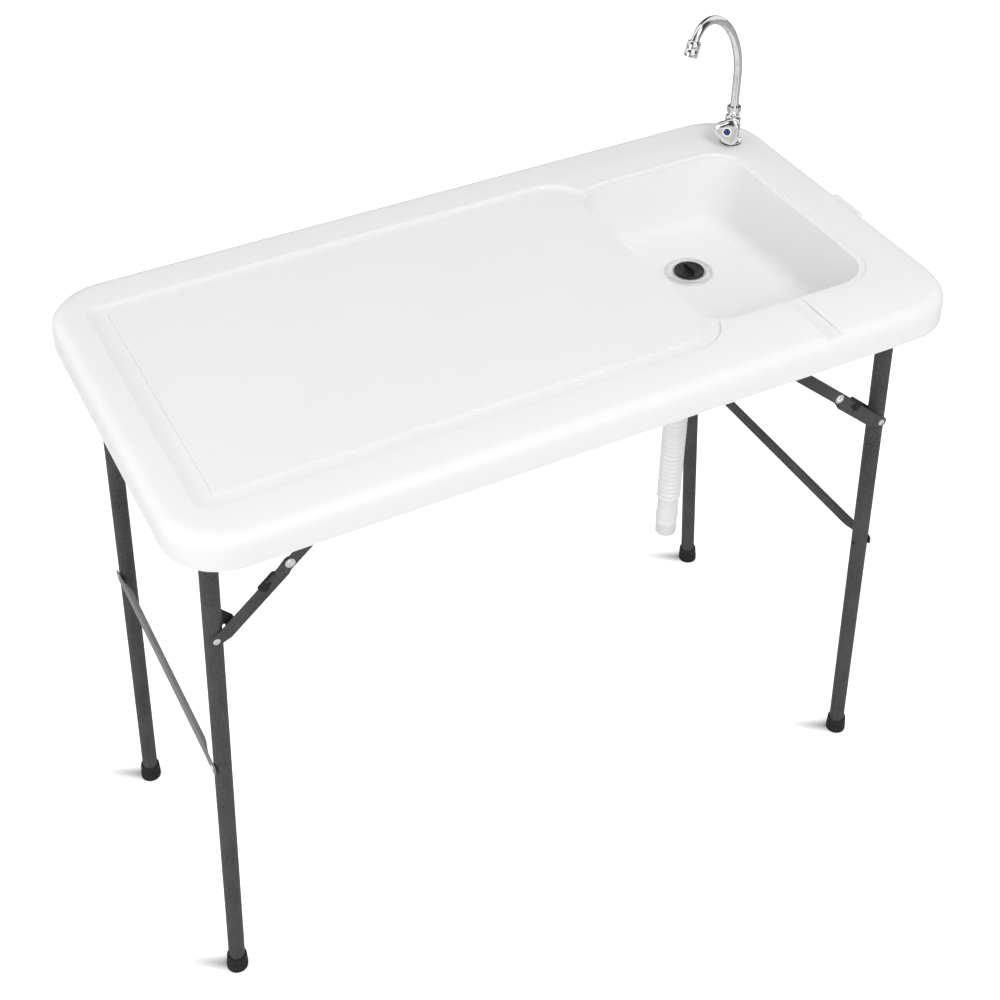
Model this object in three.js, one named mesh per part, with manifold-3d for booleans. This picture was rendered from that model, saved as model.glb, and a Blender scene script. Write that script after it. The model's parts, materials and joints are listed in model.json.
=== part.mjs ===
// Folding camping sink stand: a moulded worktop with a sink, a swan neck tap, a drain hose and two
// folding leg sets. Millimetres, +X towards the sink end, +Y to the back, +Z up, floor at Z = 0.
import * as THREE from 'three';
import { mergeVertices } from 'three/addons/utils/BufferGeometryUtils.js';
import Module from 'manifold-3d';

const wasm = await Module();
wasm.setup();

const rad = (degrees) => degrees * Math.PI / 180;

// Driving sizes, with angles in degrees
const gap = 0.3;
const overrun = 1;
const weld = 0.0001;

const slab = {
  length: 1143,
  width: 597,
  height: 940,
  skirt: 46,
  cornerRadius: 82,
  edgeRadius: 18,
  draft: 1,
  wall: 7,
  deck: 5,
  innerRadius: 12,
  ribDepth: 8,
  ribWall: 3,
  ribMargin: 34,
  gripY: -20,
  gripLength: 66,
  gripHeight: 6,
  gripReach: 2.5,
  gripDepth: 10,
  gripDrop: 7,
};
const recess = {
  depth: 4.5,
  endMargin: 49.5,
  sideMargin: 67,
  cornerRadius: 20,
  mouthRadius: 65,
  mouthLap: 22.5,
};
const panel = { drop: 1, endGutter: 27, sideGutter: 24.5, cornerRadius: 3, mouthRadius: 55 };
const sink = {
  length: 291,
  endMargin: 74,
  sideMargin: 101.5,
  cornerRadius: 55,
  ledge: 8,
  ledgeDepth: 3,
  depth: 108,
  draft: 13,
  floorRadius: 22,
  wall: 5,
};
const groove = { width: 23, depth: 3.5, offset: -1.2 };
const drain = {
  offsetX: 0.5,
  offsetY: 63.5,
  flangeRadius: 37,
  flangeHeight: 2.2,
  dishRadius: 25,
  dishDepth: 1.2,
  shankRadius: 22.5,
  boreRadius: 19,
  shankLength: 34,
  gasketHeight: 3,
  gasketWidth: 11,
  nutHeight: 9,
  nutReach: 9,
  nutLug: 3,
  nutLugPairs: 4,
};
const stopper = {
  capRadius: 23,
  capHeight: 3.2,
  plugRadius: 17.5,
  plugLength: 12,
  finLength: 25,
  finEnd: 4,
  finCrown: 12,
  finWall: 3,
  finTurn: 60,
};
const hose = {
  bore: 16.6,
  wall: 1.1,
  ribReach: 2.2,
  ribs: 42,
  ribsPerBoreRing: 5,
  length: 449.7,
  cuffLength: 42,
  cuffLip: 5,
  spigotLength: 30,
  spigotWall: 2.2,
  collarWall: 5,
  collarDepth: 14,
  clampWidth: 9,
  clampWall: 0.9,
  clampDrop: 14,
  screwLength: 15,
  screwRadius: 3.6,
};
const tap = {
  endMargin: 57.5,
  sideMargin: 86.5,
  baseRadius: 17,
  baseHeight: 4,
  bodyRadius: 12,
  bodyHeight: 43,
  neckRadius: 8.8,
  neckHeight: 6,
  gasketHeight: 1.6,
  shankRadius: 9.5,
  shankLength: 46,
  holeRadius: 10.5,
  nutRadius: 13,
  nutHeight: 7,
  inletRadius: 12.5,
  inletLength: 22,
  inletBore: 7,
  valveHeight: 25,
  valveRadius: 8.5,
  valveReach: 14,
  bonnetRadius: 9.6,
  bonnetLength: 3.5,
  spindleRadius: 3.4,
  spindleReach: 6,
  knobRadius: 19.5,
  knobLobe: 2,
  knobDepth: 12,
  knobLobes: 3,
  knobRound: 2.4,
  hexagon: 6,
  indexRadius: 4.6,
  indexHeight: 1.2,
  faceAngle: 220,
  faceTilt: 10,
};
const spout = {
  tubeRadius: 6.75,
  tubeWall: 1,
  aim: 201,
  riser: 108,
  rise: 203,
  bow: 267,
  bowReach: 99.5,
  tipReach: 123,
  tipHeight: 209,
  nutRadius: 11.2,
  nutHeight: 9,
  nozzleRadius: 10,
  nozzleLength: 20,
  nozzleLap: 3,
  nozzleWall: 1.6,
  socket: 20,
};
const leg = { radius: 12.5, wall: 1.2, splay: 3.8, topReach: 12, pivotRadius: 4 };
const foot = { radius: 16.5, height: 28, lip: 1.1, floor: 5, grooveDepth: 1.2, grooveHeight: 2.6 };
const crossbar = { height: 18, wall: 2, endReach: 9, rivetRadius: 2.5 };
const bracket = {
  wall: 2,
  flange: 12,
  backReach: 18.4,
  frontReach: 15,
  nose: 11,
  noseStart: 215,
  noseEnd: 345,
  backDrop: 4,
  cheekGap: 0.6,
};
const brace = {
  sheet: 1.2,
  cheekWall: 1.5,
  sideGap: 0.3,
  endRadius: 9,
  topReach: 7,
  webReach: 14,
  webStart: 15,
  lap: 25,
  bridgeStart: 8,
  bridgeLength: 12,
  bridgeReach: 14.5,
  rivetRadius: 3,
  headRadius: 5.2,
  headHeight: 1,
  bracketLength: 30,
  bracketNose: 10,
};
const latch = {
  back: 47,
  hub: 5,
  sheet: 1,
  pin: 2,
  fingerLength: 27,
  fingerRise: 12,
  fingerWidth: 5,
  hook: 6,
};

// The two leg sets nest when folded: the left set is the narrower and sits higher
const leftSet = {
  name: 'left',
  turn: 0,
  endMargin: 60.5,
  rowMargin: 88.2,
  pivotDrop: 29,
  braceDrop: 197,
  foldLap: 16,
  crossbarShare: 0.511,
};
const rightSet = {
  name: 'right',
  turn: 180,
  endMargin: 91.5,
  rowMargin: 54.2,
  pivotDrop: 58,
  braceDrop: 164,
  foldLap: 14,
  crossbarShare: 0.525,
};

// Numbers of sides and steps, which are counts and not lengths
const facets = {
  corner: 4,
  fillet: 4,
  tube: 16,
  foot: 20,
  hose: 8,
  small: 8,
  screw: 8,
  turned: 20,
  knob: 30,
  spoutSides: 7,
  spoutSteps: 15,
  knobRound: 2,
};

// Shares of a head's radius or a rib field's span
const headFlatShare = 0.7;
const crossRibShares = [0, 0.25, 0.5, 0.75, 1];
const longRibShares = [-1, 0, 1];

// Holes start off the level, so that no two of their corners line up
const holeStart = rad(11);

// Ways in which a fillet turns
const upwards = 1;
const downwards = -1;

const finishes = {
  white: { color: 0xefefee, roughness: 0.5, metalness: 0 },
  hose: { color: 0xeeeeee, roughness: 0.55, metalness: 0 },
  steel: { color: 0x4f4f51, roughness: 0.55, metalness: 0.4 },
  zinc: { color: 0xb9bbbd, roughness: 0.3, metalness: 1 },
  chrome: { color: 0xdddfe2, roughness: 0.08, metalness: 1 },
  black: { color: 0x202022, roughness: 0.6, metalness: 0 },
  rubber: { color: 0x2a2a2c, roughness: 0.8, metalness: 0 },
  blue: { color: 0x1c2d7a, roughness: 0.3, metalness: 0 },
};

const deckUnder = slab.height - recess.depth - slab.deck;
const sinkRight = slab.length / 2 - sink.endMargin;
const sinkX = sinkRight - sink.length / 2;
const sinkLeft = sinkX - sink.length / 2 + sink.ledge;
const sinkFloor = slab.height - sink.depth;
const sinkUnder = sinkFloor - sink.wall;
const sinkWidth = slab.width - 2 * sink.sideMargin;
const drainX = sinkX + drain.offsetX;
const drainY = drain.offsetY;
const tapX = slab.length / 2 - tap.endMargin;
const tapY = slab.width / 2 - tap.sideMargin;

// Solids

function volumeOf(geometry) {
  const points = geometry.getAttribute('position');
  const index = geometry.getIndex();
  const [a, b, c] = [new THREE.Vector3(), new THREE.Vector3(), new THREE.Vector3()];
  let volume = 0;
  for (let i = 0; i < index.count; i += 3) {
    a.fromBufferAttribute(points, index.getX(i));
    b.fromBufferAttribute(points, index.getX(i + 1));
    c.fromBufferAttribute(points, index.getX(i + 2));
    volume += a.dot(b.cross(c));
  }
  return volume;
}

// One closed body with shared corners and its faces pointing out
function closed(source) {
  const bare = source.clone();
  for (const name of Object.keys(bare.attributes)) {
    if (name !== 'position') bare.deleteAttribute(name);
  }
  const geometry = mergeVertices(bare, weld);
  const index = geometry.getIndex();
  const kept = [];
  for (let i = 0; i < index.count; i += 3) {
    const [a, b, c] = [index.getX(i), index.getX(i + 1), index.getX(i + 2)];
    if (a !== b && b !== c && c !== a) kept.push(a, b, c);
  }
  geometry.setIndex(kept);
  if (volumeOf(geometry) < 0) {
    for (let i = 0; i < kept.length; i += 3) [kept[i], kept[i + 1]] = [kept[i + 1], kept[i]];
    geometry.setIndex(kept);
  }
  return geometry;
}

function solid(source) {
  const geometry = closed(source);
  return new wasm.Manifold(new wasm.Mesh({
    numProp: 3,
    vertProperties: new Float32Array(geometry.getAttribute('position').array),
    triVerts: new Uint32Array(geometry.getIndex().array),
  }));
}

function shapeOf(body) {
  const mesh = body.getMesh();
  const geometry = new THREE.BufferGeometry();
  geometry.setAttribute('position', new THREE.BufferAttribute(new Float32Array(mesh.vertProperties), 3));
  geometry.setIndex(new THREE.BufferAttribute(new Uint32Array(mesh.triVerts), 1));
  return geometry;
}

function join(first, ...others) {
  return shapeOf(others.reduce((body, other) => body.add(solid(other)), solid(first)));
}

function cut(first, ...tools) {
  return shapeOf(tools.reduce((body, tool) => body.subtract(solid(tool)), solid(first)));
}

function moved(geometry, x, y, z) {
  return geometry.clone().translate(x, y, z);
}

function box(x0, x1, y0, y1, z0, z1) {
  const geometry = new THREE.BoxGeometry(x1 - x0, y1 - y0, z1 - z0);
  return geometry.translate((x0 + x1) / 2, (y0 + y1) / 2, (z0 + z1) / 2);
}

// A turned body about Z from [radius, height] pairs that start and end on the axis or close on themselves
function turned(profile, sides) {
  const points = profile.map(([radius, height]) => new THREE.Vector2(radius, height));
  return new THREE.LatheGeometry(points, sides).rotateX(Math.PI / 2);
}

function ring(inner, outer, z0, z1, sides) {
  return turned([[inner, z0], [outer, z0], [outer, z1], [inner, z1], [inner, z0]], sides);
}

function disc(radius, z0, z1, sides) {
  return turned([[0, z0], [radius, z0], [radius, z1], [0, z1]], sides);
}

// A rounded rectangle whose left and right corners may differ
function plate(x0, x1, y0, y1, leftRadius, rightRadius) {
  const shape = new THREE.Shape();
  shape.moveTo(x0 + leftRadius, y0);
  shape.lineTo(x1 - rightRadius, y0);
  shape.absarc(x1 - rightRadius, y0 + rightRadius, rightRadius, -Math.PI / 2, 0);
  shape.lineTo(x1, y1 - rightRadius);
  shape.absarc(x1 - rightRadius, y1 - rightRadius, rightRadius, 0, Math.PI / 2);
  shape.lineTo(x0 + leftRadius, y1);
  shape.absarc(x0 + leftRadius, y1 - leftRadius, leftRadius, Math.PI / 2, Math.PI);
  shape.lineTo(x0, y0 + leftRadius);
  shape.absarc(x0 + leftRadius, y0 + leftRadius, leftRadius, Math.PI, 3 * Math.PI / 2);
  return shape;
}

function extruded(shape, z0, z1) {
  const settings = { depth: z1 - z0, bevelEnabled: false, curveSegments: facets.corner };
  return new THREE.ExtrudeGeometry(shape, settings).translate(0, 0, z0);
}

// A rounded rectangle carried through levels of [height, inset], as a moulding with draft and fillets
function moulded(centreX, length, width, radius, levels) {
  const [halfX, halfY] = [length / 2, width / 2];
  const steps = levels.length - 1;
  const settings = { depth: steps, steps, bevelEnabled: false, curveSegments: facets.corner };
  const geometry = new THREE.ExtrudeGeometry(plate(-halfX, halfX, -halfY, halfY, radius, radius), settings);
  const points = geometry.getAttribute('position');
  for (let i = 0; i < points.count; i += 1) {
    const [z, inset] = levels[Math.round(points.getZ(i))];
    const x = points.getX(i) * (1 - inset / halfX);
    const y = points.getY(i) * (1 - inset / halfY);
    points.setXYZ(i, centreX + x, y, z);
  }
  return geometry;
}

// Levels that round an edge from a wall at [z, inset] over to a flat, upwards (rise 1) or downwards (-1)
function fillet(z, inset, radius, rise) {
  const levels = [];
  for (let i = 0; i <= facets.fillet; i += 1) {
    const turn = Math.PI / 2 * i / facets.fillet;
    levels.push([z + rise * radius * Math.sin(turn), inset + radius * (1 - Math.cos(turn))]);
  }
  return levels;
}

// A flat piece drawn in X and Z, with its thickness along Y from y0
function upright(shape, y0, thickness) {
  const settings = { depth: thickness, bevelEnabled: false, curveSegments: facets.corner };
  const geometry = new THREE.ExtrudeGeometry(shape, settings).rotateX(Math.PI / 2);
  return geometry.translate(0, y0 + thickness, 0);
}

function hole(x, z, radius) {
  const path = new THREE.Path();
  path.absarc(x, z, radius, holeStart, holeStart + 2 * Math.PI, false);
  return path;
}

// A pin along Y
function pinY(radius, x, z, y0, y1, sides) {
  return disc(radius, y0, y1, sides).rotateX(-Math.PI / 2).translate(x, 0, z);
}

// A pin along X
function pinX(radius, y, z, x0, x1, sides) {
  return disc(radius, x0, x1, sides).rotateY(Math.PI / 2).translate(0, y, z);
}

function node(name, geometry, finish) {
  const material = new THREE.MeshStandardMaterial(finishes[finish]);
  const mesh = new THREE.Mesh(closed(geometry), material);
  mesh.name = name;
  return mesh;
}

// Worktop

function worktop() {
  const skirtFoot = slab.height - slab.skirt;
  const shoulder = slab.height - slab.edgeRadius;
  const outer = moulded(0, slab.length, slab.width, slab.cornerRadius,
    [[skirtFoot, 0], ...fillet(shoulder, slab.draft, slab.edgeRadius, upwards)]);
  const hollow = moulded(0, slab.length, slab.width, slab.cornerRadius, [
    [skirtFoot - overrun, slab.wall],
    ...fillet(deckUnder - slab.innerRadius, slab.wall + slab.draft, slab.innerRadius, upwards),
  ]);

  const recessLeft = -slab.length / 2 + recess.endMargin;
  const recessSide = slab.width / 2 - recess.sideMargin;
  const recessFloor = slab.height - recess.depth;
  const recessShape = plate(recessLeft, sinkLeft + recess.mouthLap, -recessSide, recessSide,
    recess.cornerRadius, recess.mouthRadius);
  const recessCut = extruded(recessShape, recessFloor, slab.height + overrun);
  const ledgeCut = moulded(sinkX, sink.length, sinkWidth, sink.cornerRadius,
    [[slab.height - sink.ledgeDepth, gap], [slab.height, 0], [slab.height + overrun, 0]]);

  const panelLeft = recessLeft + panel.endGutter;
  const panelSide = recessSide - panel.sideGutter;
  const panelShape = plate(panelLeft, sinkLeft, -panelSide, panelSide, panel.cornerRadius, panel.mouthRadius);
  const panelBody = extruded(panelShape, recessFloor - slab.deck / 2, slab.height - panel.drop);

  const wallFoot = sinkFloor + sink.floorRadius;
  const cavity = moulded(sinkX, sink.length, sinkWidth, sink.cornerRadius, [
    ...fillet(wallFoot, sink.ledge + sink.draft, sink.floorRadius, downwards).reverse(),
    [slab.height - 2 * sink.ledgeDepth, sink.ledge],
    [slab.height + overrun, sink.ledge],
  ]);
  const bowlInset = sink.ledge + sink.draft - sink.wall;
  const bowl = moulded(sinkX, sink.length, sinkWidth, sink.cornerRadius, [
    ...fillet(wallFoot, bowlInset, sink.floorRadius + sink.wall, downwards).reverse(),
    [deckUnder - sink.ledgeDepth, sink.ledge - sink.wall],
    [recessFloor - sink.ledgeDepth, sink.ledge - sink.wall],
  ]);

  const skirtFace = slab.width / 2;
  const grooveX = sinkX + groove.offset;
  const grooveCut = box(grooveX - groove.width / 2, grooveX + groove.width / 2,
    -skirtFace - overrun, -sinkWidth / 2 + 2 * sink.ledge, slab.height - groove.depth, slab.height + overrun);

  const grip = moulded(0, slab.gripDepth, slab.gripLength, slab.gripReach,
    [[-slab.gripHeight / 2, slab.gripReach / 2], [0, 0], [slab.gripHeight / 2, slab.gripReach / 2]])
    .translate(slab.length / 2 - slab.gripReach, slab.gripY, slab.height - slab.gripDrop);

  let body = solid(outer).subtract(solid(hollow)).subtract(solid(recessCut)).subtract(solid(ledgeCut));
  body = body.add(solid(panelBody)).add(solid(bowl)).add(solid(grip));
  for (const rib of underRibs()) body = body.add(solid(rib));
  body = body.subtract(solid(cavity)).subtract(solid(grooveCut));
  const drainHole = disc(drain.shankRadius + gap, sinkUnder - overrun, sinkFloor + overrun, facets.turned);
  body = body.subtract(solid(moved(drainHole, drainX, drainY, 0)));
  const tapHole = disc(tap.holeRadius, deckUnder - overrun, slab.height + overrun, facets.turned);
  body = body.subtract(solid(moved(tapHole, tapX, tapY, 0)));
  return node('tabletop', shapeOf(body), 'white');
}

// Stiffening ribs under the cutting panel, between the folded legs and short of the sink
function underRibs() {
  const legs = standing(leftSet);
  const left = legs.pivotX + slab.ribMargin;
  const right = sinkLeft - slab.ribMargin;
  const side = legs.legY - slab.ribMargin;
  const z0 = deckUnder - slab.ribDepth;
  const z1 = deckUnder + slab.deck / 2;
  const ribs = [];
  for (const share of crossRibShares) {
    const x = left + share * (right - left);
    ribs.push(box(x - slab.ribWall / 2, x + slab.ribWall / 2, -side, side, z0, z1));
  }
  for (const share of longRibShares) {
    const y = share * (side - slab.ribWall / 2);
    ribs.push(box(left, right, y - slab.ribWall / 2, y + slab.ribWall / 2, z0, z1));
  }
  return ribs;
}

// Drain

function drainParts() {
  const group = new THREE.Group();
  group.position.set(drainX, drainY, 0);
  const seat = sinkFloor + gap;
  const rim = seat + drain.flangeHeight;
  const shankFoot = seat - drain.shankLength;
  group.add(node('drain_flange', turned([
    [drain.boreRadius, shankFoot],
    [drain.shankRadius, shankFoot],
    [drain.shankRadius, seat],
    [drain.flangeRadius, seat],
    [drain.flangeRadius - drain.flangeHeight / 2, rim],
    [drain.dishRadius, rim],
    [drain.dishRadius - drain.dishDepth, rim - drain.dishDepth],
    [drain.boreRadius, rim - drain.dishDepth],
    [drain.boreRadius, shankFoot],
  ], facets.turned), 'zinc'));

  const gasketTop = sinkUnder - gap;
  const gasketFoot = gasketTop - drain.gasketHeight;
  const inner = drain.shankRadius + gap;
  const gasket = ring(inner, inner + drain.gasketWidth, gasketFoot, gasketTop, facets.turned);
  group.add(node('drain_gasket', gasket, 'rubber'));

  const nutTop = gasketFoot - gap;
  const nutFoot = nutTop - drain.nutHeight;
  const nutRadius = inner + drain.nutReach;
  const lugReach = nutRadius + drain.nutLug;
  let nut = solid(disc(nutRadius, nutFoot, nutTop, facets.turned));
  for (let i = 0; i < drain.nutLugPairs; i += 1) {
    const pair = box(-lugReach, lugReach, -drain.nutLug, drain.nutLug, nutFoot, nutTop);
    nut = nut.add(solid(pair.rotateZ(Math.PI * i / drain.nutLugPairs)));
  }
  const bore = disc(inner, nutFoot - overrun, nutTop + overrun, facets.turned);
  group.add(node('drain_locknut', shapeOf(nut.subtract(solid(bore))), 'white'));

  const capFoot = rim - drain.dishDepth + gap;
  const capTop = capFoot + stopper.capHeight;
  const plug = turned([
    [0, capFoot - stopper.plugLength],
    [stopper.plugRadius - overrun, capFoot - stopper.plugLength],
    [stopper.plugRadius, capFoot],
    [stopper.capRadius, capFoot],
    [stopper.capRadius, capTop - overrun],
    [stopper.capRadius - overrun, capTop],
    [0, capTop],
  ], facets.turned);
  const finShape = new THREE.Shape();
  finShape.moveTo(-stopper.finLength / 2, 0);
  finShape.lineTo(stopper.finLength / 2, 0);
  finShape.lineTo(stopper.finLength / 2, stopper.finEnd);
  finShape.quadraticCurveTo(0, stopper.finCrown, -stopper.finLength / 2, stopper.finEnd);
  const fin = upright(finShape, -stopper.finWall / 2, stopper.finWall);
  fin.translate(0, 0, capTop - overrun).rotateZ(rad(stopper.finTurn));
  group.add(node('drain_stopper', join(plug, fin), 'black'));

  // The spigot's collar screws over the lower end of the shank
  const collarTop = shankFoot + hose.collarDepth;
  const collarFoot = shankFoot - gap - hose.collarWall;
  const spigotRadius = hose.bore * Math.cos(Math.PI / facets.hose) - gap;
  const spigotFoot = collarFoot - hose.spigotLength;
  group.add(node('hose_spigot', turned([
    [inner, collarTop],
    [inner + hose.collarWall, collarTop],
    [inner + hose.collarWall, collarFoot + hose.collarWall / 2],
    [inner + hose.collarWall / 2, collarFoot],
    [spigotRadius, collarFoot],
    [spigotRadius, spigotFoot],
    [spigotRadius - hose.spigotWall, spigotFoot],
    [spigotRadius - hose.spigotWall, shankFoot - gap],
    [inner, shankFoot - gap],
    [inner, collarTop],
  ], facets.turned), 'white'));

  const hoseTop = collarFoot - gap;
  const hoseFoot = hoseTop - hose.length;
  group.add(ribbedHose(hoseTop, hoseFoot));
  const cuffTop = hoseFoot - gap;
  const cuffOuter = hose.bore + hose.wall;
  group.add(node('hose_cuff', turned([
    [hose.bore, cuffTop],
    [cuffOuter + hose.wall, cuffTop],
    [cuffOuter + hose.wall, cuffTop - hose.cuffLip],
    [cuffOuter, cuffTop - hose.cuffLip - hose.wall],
    [cuffOuter, cuffTop - hose.cuffLength],
    [hose.bore, cuffTop - hose.cuffLength],
    [hose.bore, cuffTop],
  ], facets.foot), 'hose'));

  const bandInner = hose.bore + hose.wall + gap;
  const bandOuter = bandInner + hose.clampWall;
  const bandTop = hoseTop - hose.clampDrop;
  const band = ring(bandInner, bandOuter, bandTop - hose.clampWidth, bandTop, facets.turned);
  const screwX = bandOuter + hose.screwRadius - hose.clampWall;
  const screwZ = bandTop - hose.clampWidth / 2;
  const screwEnd = hose.screwLength / 2;
  const housing = pinY(hose.screwRadius, screwX, screwZ, -screwEnd, screwEnd, facets.small);
  group.add(node('hose_clamp', join(band, housing), 'zinc'));
  return group;
}

// A bellows hose: a bore and an outer skin of ribs, hanging straight down, with smooth ends
function ribbedHose(top, foot) {
  const root = hose.bore + hose.wall;
  const crest = root + hose.ribReach;
  const smooth = 2 * root;
  const ribTop = top - smooth;
  const ribFoot = foot + smooth;
  const pitch = (ribTop - ribFoot) / hose.ribs;
  const outer = [[root, top], [root, ribTop]];
  const inner = [[hose.bore, top], [hose.bore, ribTop]];
  for (let i = 0; i < hose.ribs; i += 1) {
    const z = ribTop - pitch * i;
    outer.push([crest, z - pitch / 2], [root, z - pitch]);
    if ((i + 1) % hose.ribsPerBoreRing === 0) inner.push([hose.bore, z - pitch]);
  }
  outer.push([root, foot]);
  inner.push([hose.bore, foot]);
  const profile = [...outer, ...inner.reverse(), outer[0]];
  return node('drain_hose', turned(profile, facets.hose), 'hose');
}

// Tap

function tapParts() {
  const group = new THREE.Group();
  group.position.set(tapX, tapY, 0);
  const gasketFoot = slab.height + gap;
  const gasketTop = gasketFoot + tap.gasketHeight;
  const gasket = ring(tap.shankRadius + gap, tap.baseRadius, gasketFoot, gasketTop, facets.turned);
  group.add(node('tap_gasket', gasket, 'rubber'));

  const seat = gasketTop + gap;
  const shoulder = seat + tap.bodyHeight;
  const neckTop = shoulder + tap.neckHeight;
  const shankFoot = slab.height - tap.shankLength;
  const socketRadius = spout.tubeRadius + gap;
  const body = turned([
    [socketRadius - gap - spout.tubeWall, shankFoot],
    [tap.shankRadius, shankFoot],
    [tap.shankRadius, seat],
    [tap.baseRadius, seat],
    [tap.baseRadius, seat + tap.baseHeight / 2],
    [tap.bodyRadius + tap.baseHeight / 2, seat + tap.baseHeight],
    [tap.bodyRadius, seat + 2 * tap.baseHeight],
    [tap.bodyRadius, shoulder - tap.baseHeight / 2],
    [tap.neckRadius, shoulder],
    [tap.neckRadius, neckTop],
    [socketRadius, neckTop],
    [socketRadius, neckTop - spout.socket],
    [socketRadius - gap - spout.tubeWall, neckTop - spout.socket],
    [socketRadius - gap - spout.tubeWall, shankFoot],
  ], facets.turned);
  const valveZ = slab.height + tap.valveHeight;
  const facing = rad(tap.faceAngle);
  const tilt = -rad(tap.faceTilt);
  const outward = (geometry) => geometry.rotateY(tilt).rotateZ(facing).translate(0, 0, valveZ);
  const armStart = (socketRadius + gap + tap.valveRadius * Math.sin(-tilt)) / Math.cos(tilt);
  const arm = outward(pinX(tap.valveRadius, 0, 0, armStart, tap.valveReach, facets.turned));
  const bonnetStart = tap.valveReach + gap;
  const bonnetEnd = bonnetStart + tap.bonnetLength;
  const seatDepth = tap.spindleReach;
  const stemBore = tap.spindleRadius + 2 * gap;
  const boreStart = bonnetStart - seatDepth - gap;
  const armBore = outward(pinX(stemBore, 0, 0, boreStart, bonnetStart + overrun, facets.small));
  group.add(node('tap_body', cut(join(body, arm), armBore), 'chrome'));

  const bonnet = cut(pinX(tap.bonnetRadius, 0, 0, bonnetStart, bonnetEnd, tap.hexagon),
    pinX(stemBore, 0, 0, bonnetStart - overrun, bonnetEnd + overrun, facets.small));
  group.add(node('valve_bonnet', outward(bonnet), 'chrome'));

  const knobStart = bonnetEnd + gap;
  const knobEnd = knobStart + tap.knobDepth;
  const spindleEnd = knobStart + tap.knobDepth / 2;
  const spindle = pinX(tap.spindleRadius, 0, 0, bonnetStart - seatDepth, spindleEnd, facets.small);
  group.add(node('valve_spindle', outward(spindle), 'zinc'));

  const points = [];
  const count = facets.knob;
  for (let i = 0; i < count; i += 1) {
    const turn = 2 * Math.PI * i / count;
    const radius = tap.knobRadius - tap.knobLobe + tap.knobLobe * Math.cos(tap.knobLobes * turn);
    points.push(new THREE.Vector2(radius * Math.cos(turn), radius * Math.sin(turn)));
  }
  const round = tap.knobRound;
  const knobBlank = new THREE.ExtrudeGeometry(new THREE.Shape(points), {
    depth: tap.knobDepth - 2 * round,
    bevelThickness: round,
    bevelSize: round,
    bevelOffset: -round,
    bevelSegments: facets.knobRound,
  }).translate(0, 0, round).rotateY(Math.PI / 2).translate(knobStart, 0, 0);
  const socket = pinX(stemBore, 0, 0, knobStart - overrun, spindleEnd + gap, facets.small);
  const dimple = pinX(tap.indexRadius + gap, 0, 0, knobEnd - tap.indexHeight, knobEnd + overrun, facets.foot);
  group.add(node('tap_knob', outward(cut(knobBlank, socket, dimple)), 'chrome'));
  const index = pinX(tap.indexRadius, 0, 0, knobEnd - tap.indexHeight + gap, knobEnd + gap, facets.foot);
  group.add(node('knob_index', outward(index), 'blue'));

  const nutTop = deckUnder - gap;
  const nut = cut(disc(tap.nutRadius, nutTop - tap.nutHeight, nutTop, tap.hexagon),
    disc(tap.shankRadius + gap, nutTop - tap.nutHeight - overrun, nutTop + overrun, facets.turned));
  group.add(node('tap_locknut', nut, 'zinc'));
  const inletTop = nutTop - tap.nutHeight - gap;
  const inletFoot = inletTop - tap.inletLength - (inletTop - shankFoot);
  group.add(node('inlet_adaptor', turned([
    [tap.shankRadius + gap, shankFoot + tap.inletLength / 2],
    [tap.inletRadius, shankFoot + tap.inletLength / 2],
    [tap.inletRadius, shankFoot - gap],
    [tap.shankRadius, shankFoot - gap - tap.baseHeight],
    [tap.shankRadius, inletFoot],
    [tap.inletBore, inletFoot],
    [tap.inletBore, shankFoot - gap],
    [tap.shankRadius + gap, shankFoot - gap],
    [tap.shankRadius + gap, shankFoot + tap.inletLength / 2],
  ], facets.turned), 'zinc'));

  const spoutNutFoot = neckTop + gap;
  const spoutNutTop = spoutNutFoot + spout.nutHeight;
  const spoutNut = cut(disc(spout.nutRadius, spoutNutFoot, spoutNutTop, tap.hexagon),
    disc(spout.tubeRadius + gap, spoutNutFoot - overrun, spoutNutTop + overrun, facets.turned));
  group.add(node('spout_nut', spoutNut, 'chrome'));

  const aimed = new THREE.Group();
  aimed.rotation.z = rad(spout.aim);
  const neck = new SwanNeck(neckTop - spout.socket + gap);
  aimed.add(node('spout_tube', spoutTube(neck), 'chrome'));
  aimed.add(node('spout_nozzle', spoutNozzle(neck), 'chrome'));
  group.add(aimed);
  return group;
}

// The tube rises straight, then turns over in one swept arch; the first step is the straight run
class SwanNeck extends THREE.Curve {
  constructor(foot) {
    super();
    this.foot = new THREE.Vector3(0, 0, foot);
    this.arch = new THREE.CubicBezierCurve3(
      new THREE.Vector3(0, 0, slab.height + spout.riser),
      new THREE.Vector3(0, 0, slab.height + spout.rise),
      new THREE.Vector3(spout.bowReach, 0, slab.height + spout.bow),
      new THREE.Vector3(spout.tipReach, 0, slab.height + spout.tipHeight),
    );
  }

  getPoint(t, target = new THREE.Vector3()) {
    const straight = 1 / facets.spoutSteps;
    if (t < straight) return target.lerpVectors(this.foot, this.arch.v0, t / straight);
    return this.arch.getPoint((t - straight) / (1 - straight), target);
  }

  getPointAt(u, target) {
    return this.getPoint(u, target);
  }

  getTangentAt(u, target = new THREE.Vector3()) {
    const straight = 1 / facets.spoutSteps;
    if (u <= straight) return target.set(0, 0, 1);
    return this.arch.getTangent((u - straight) / (1 - straight), target);
  }
}

function spoutTube(neck) {
  const section = new THREE.Shape();
  section.absarc(0, 0, spout.tubeRadius, 0, 2 * Math.PI);
  section.holes.push(hole(0, 0, spout.tubeRadius - spout.tubeWall));
  return new THREE.ExtrudeGeometry(section, {
    steps: facets.spoutSteps,
    curveSegments: facets.spoutSides,
    extrudePath: neck,
  });
}

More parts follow.
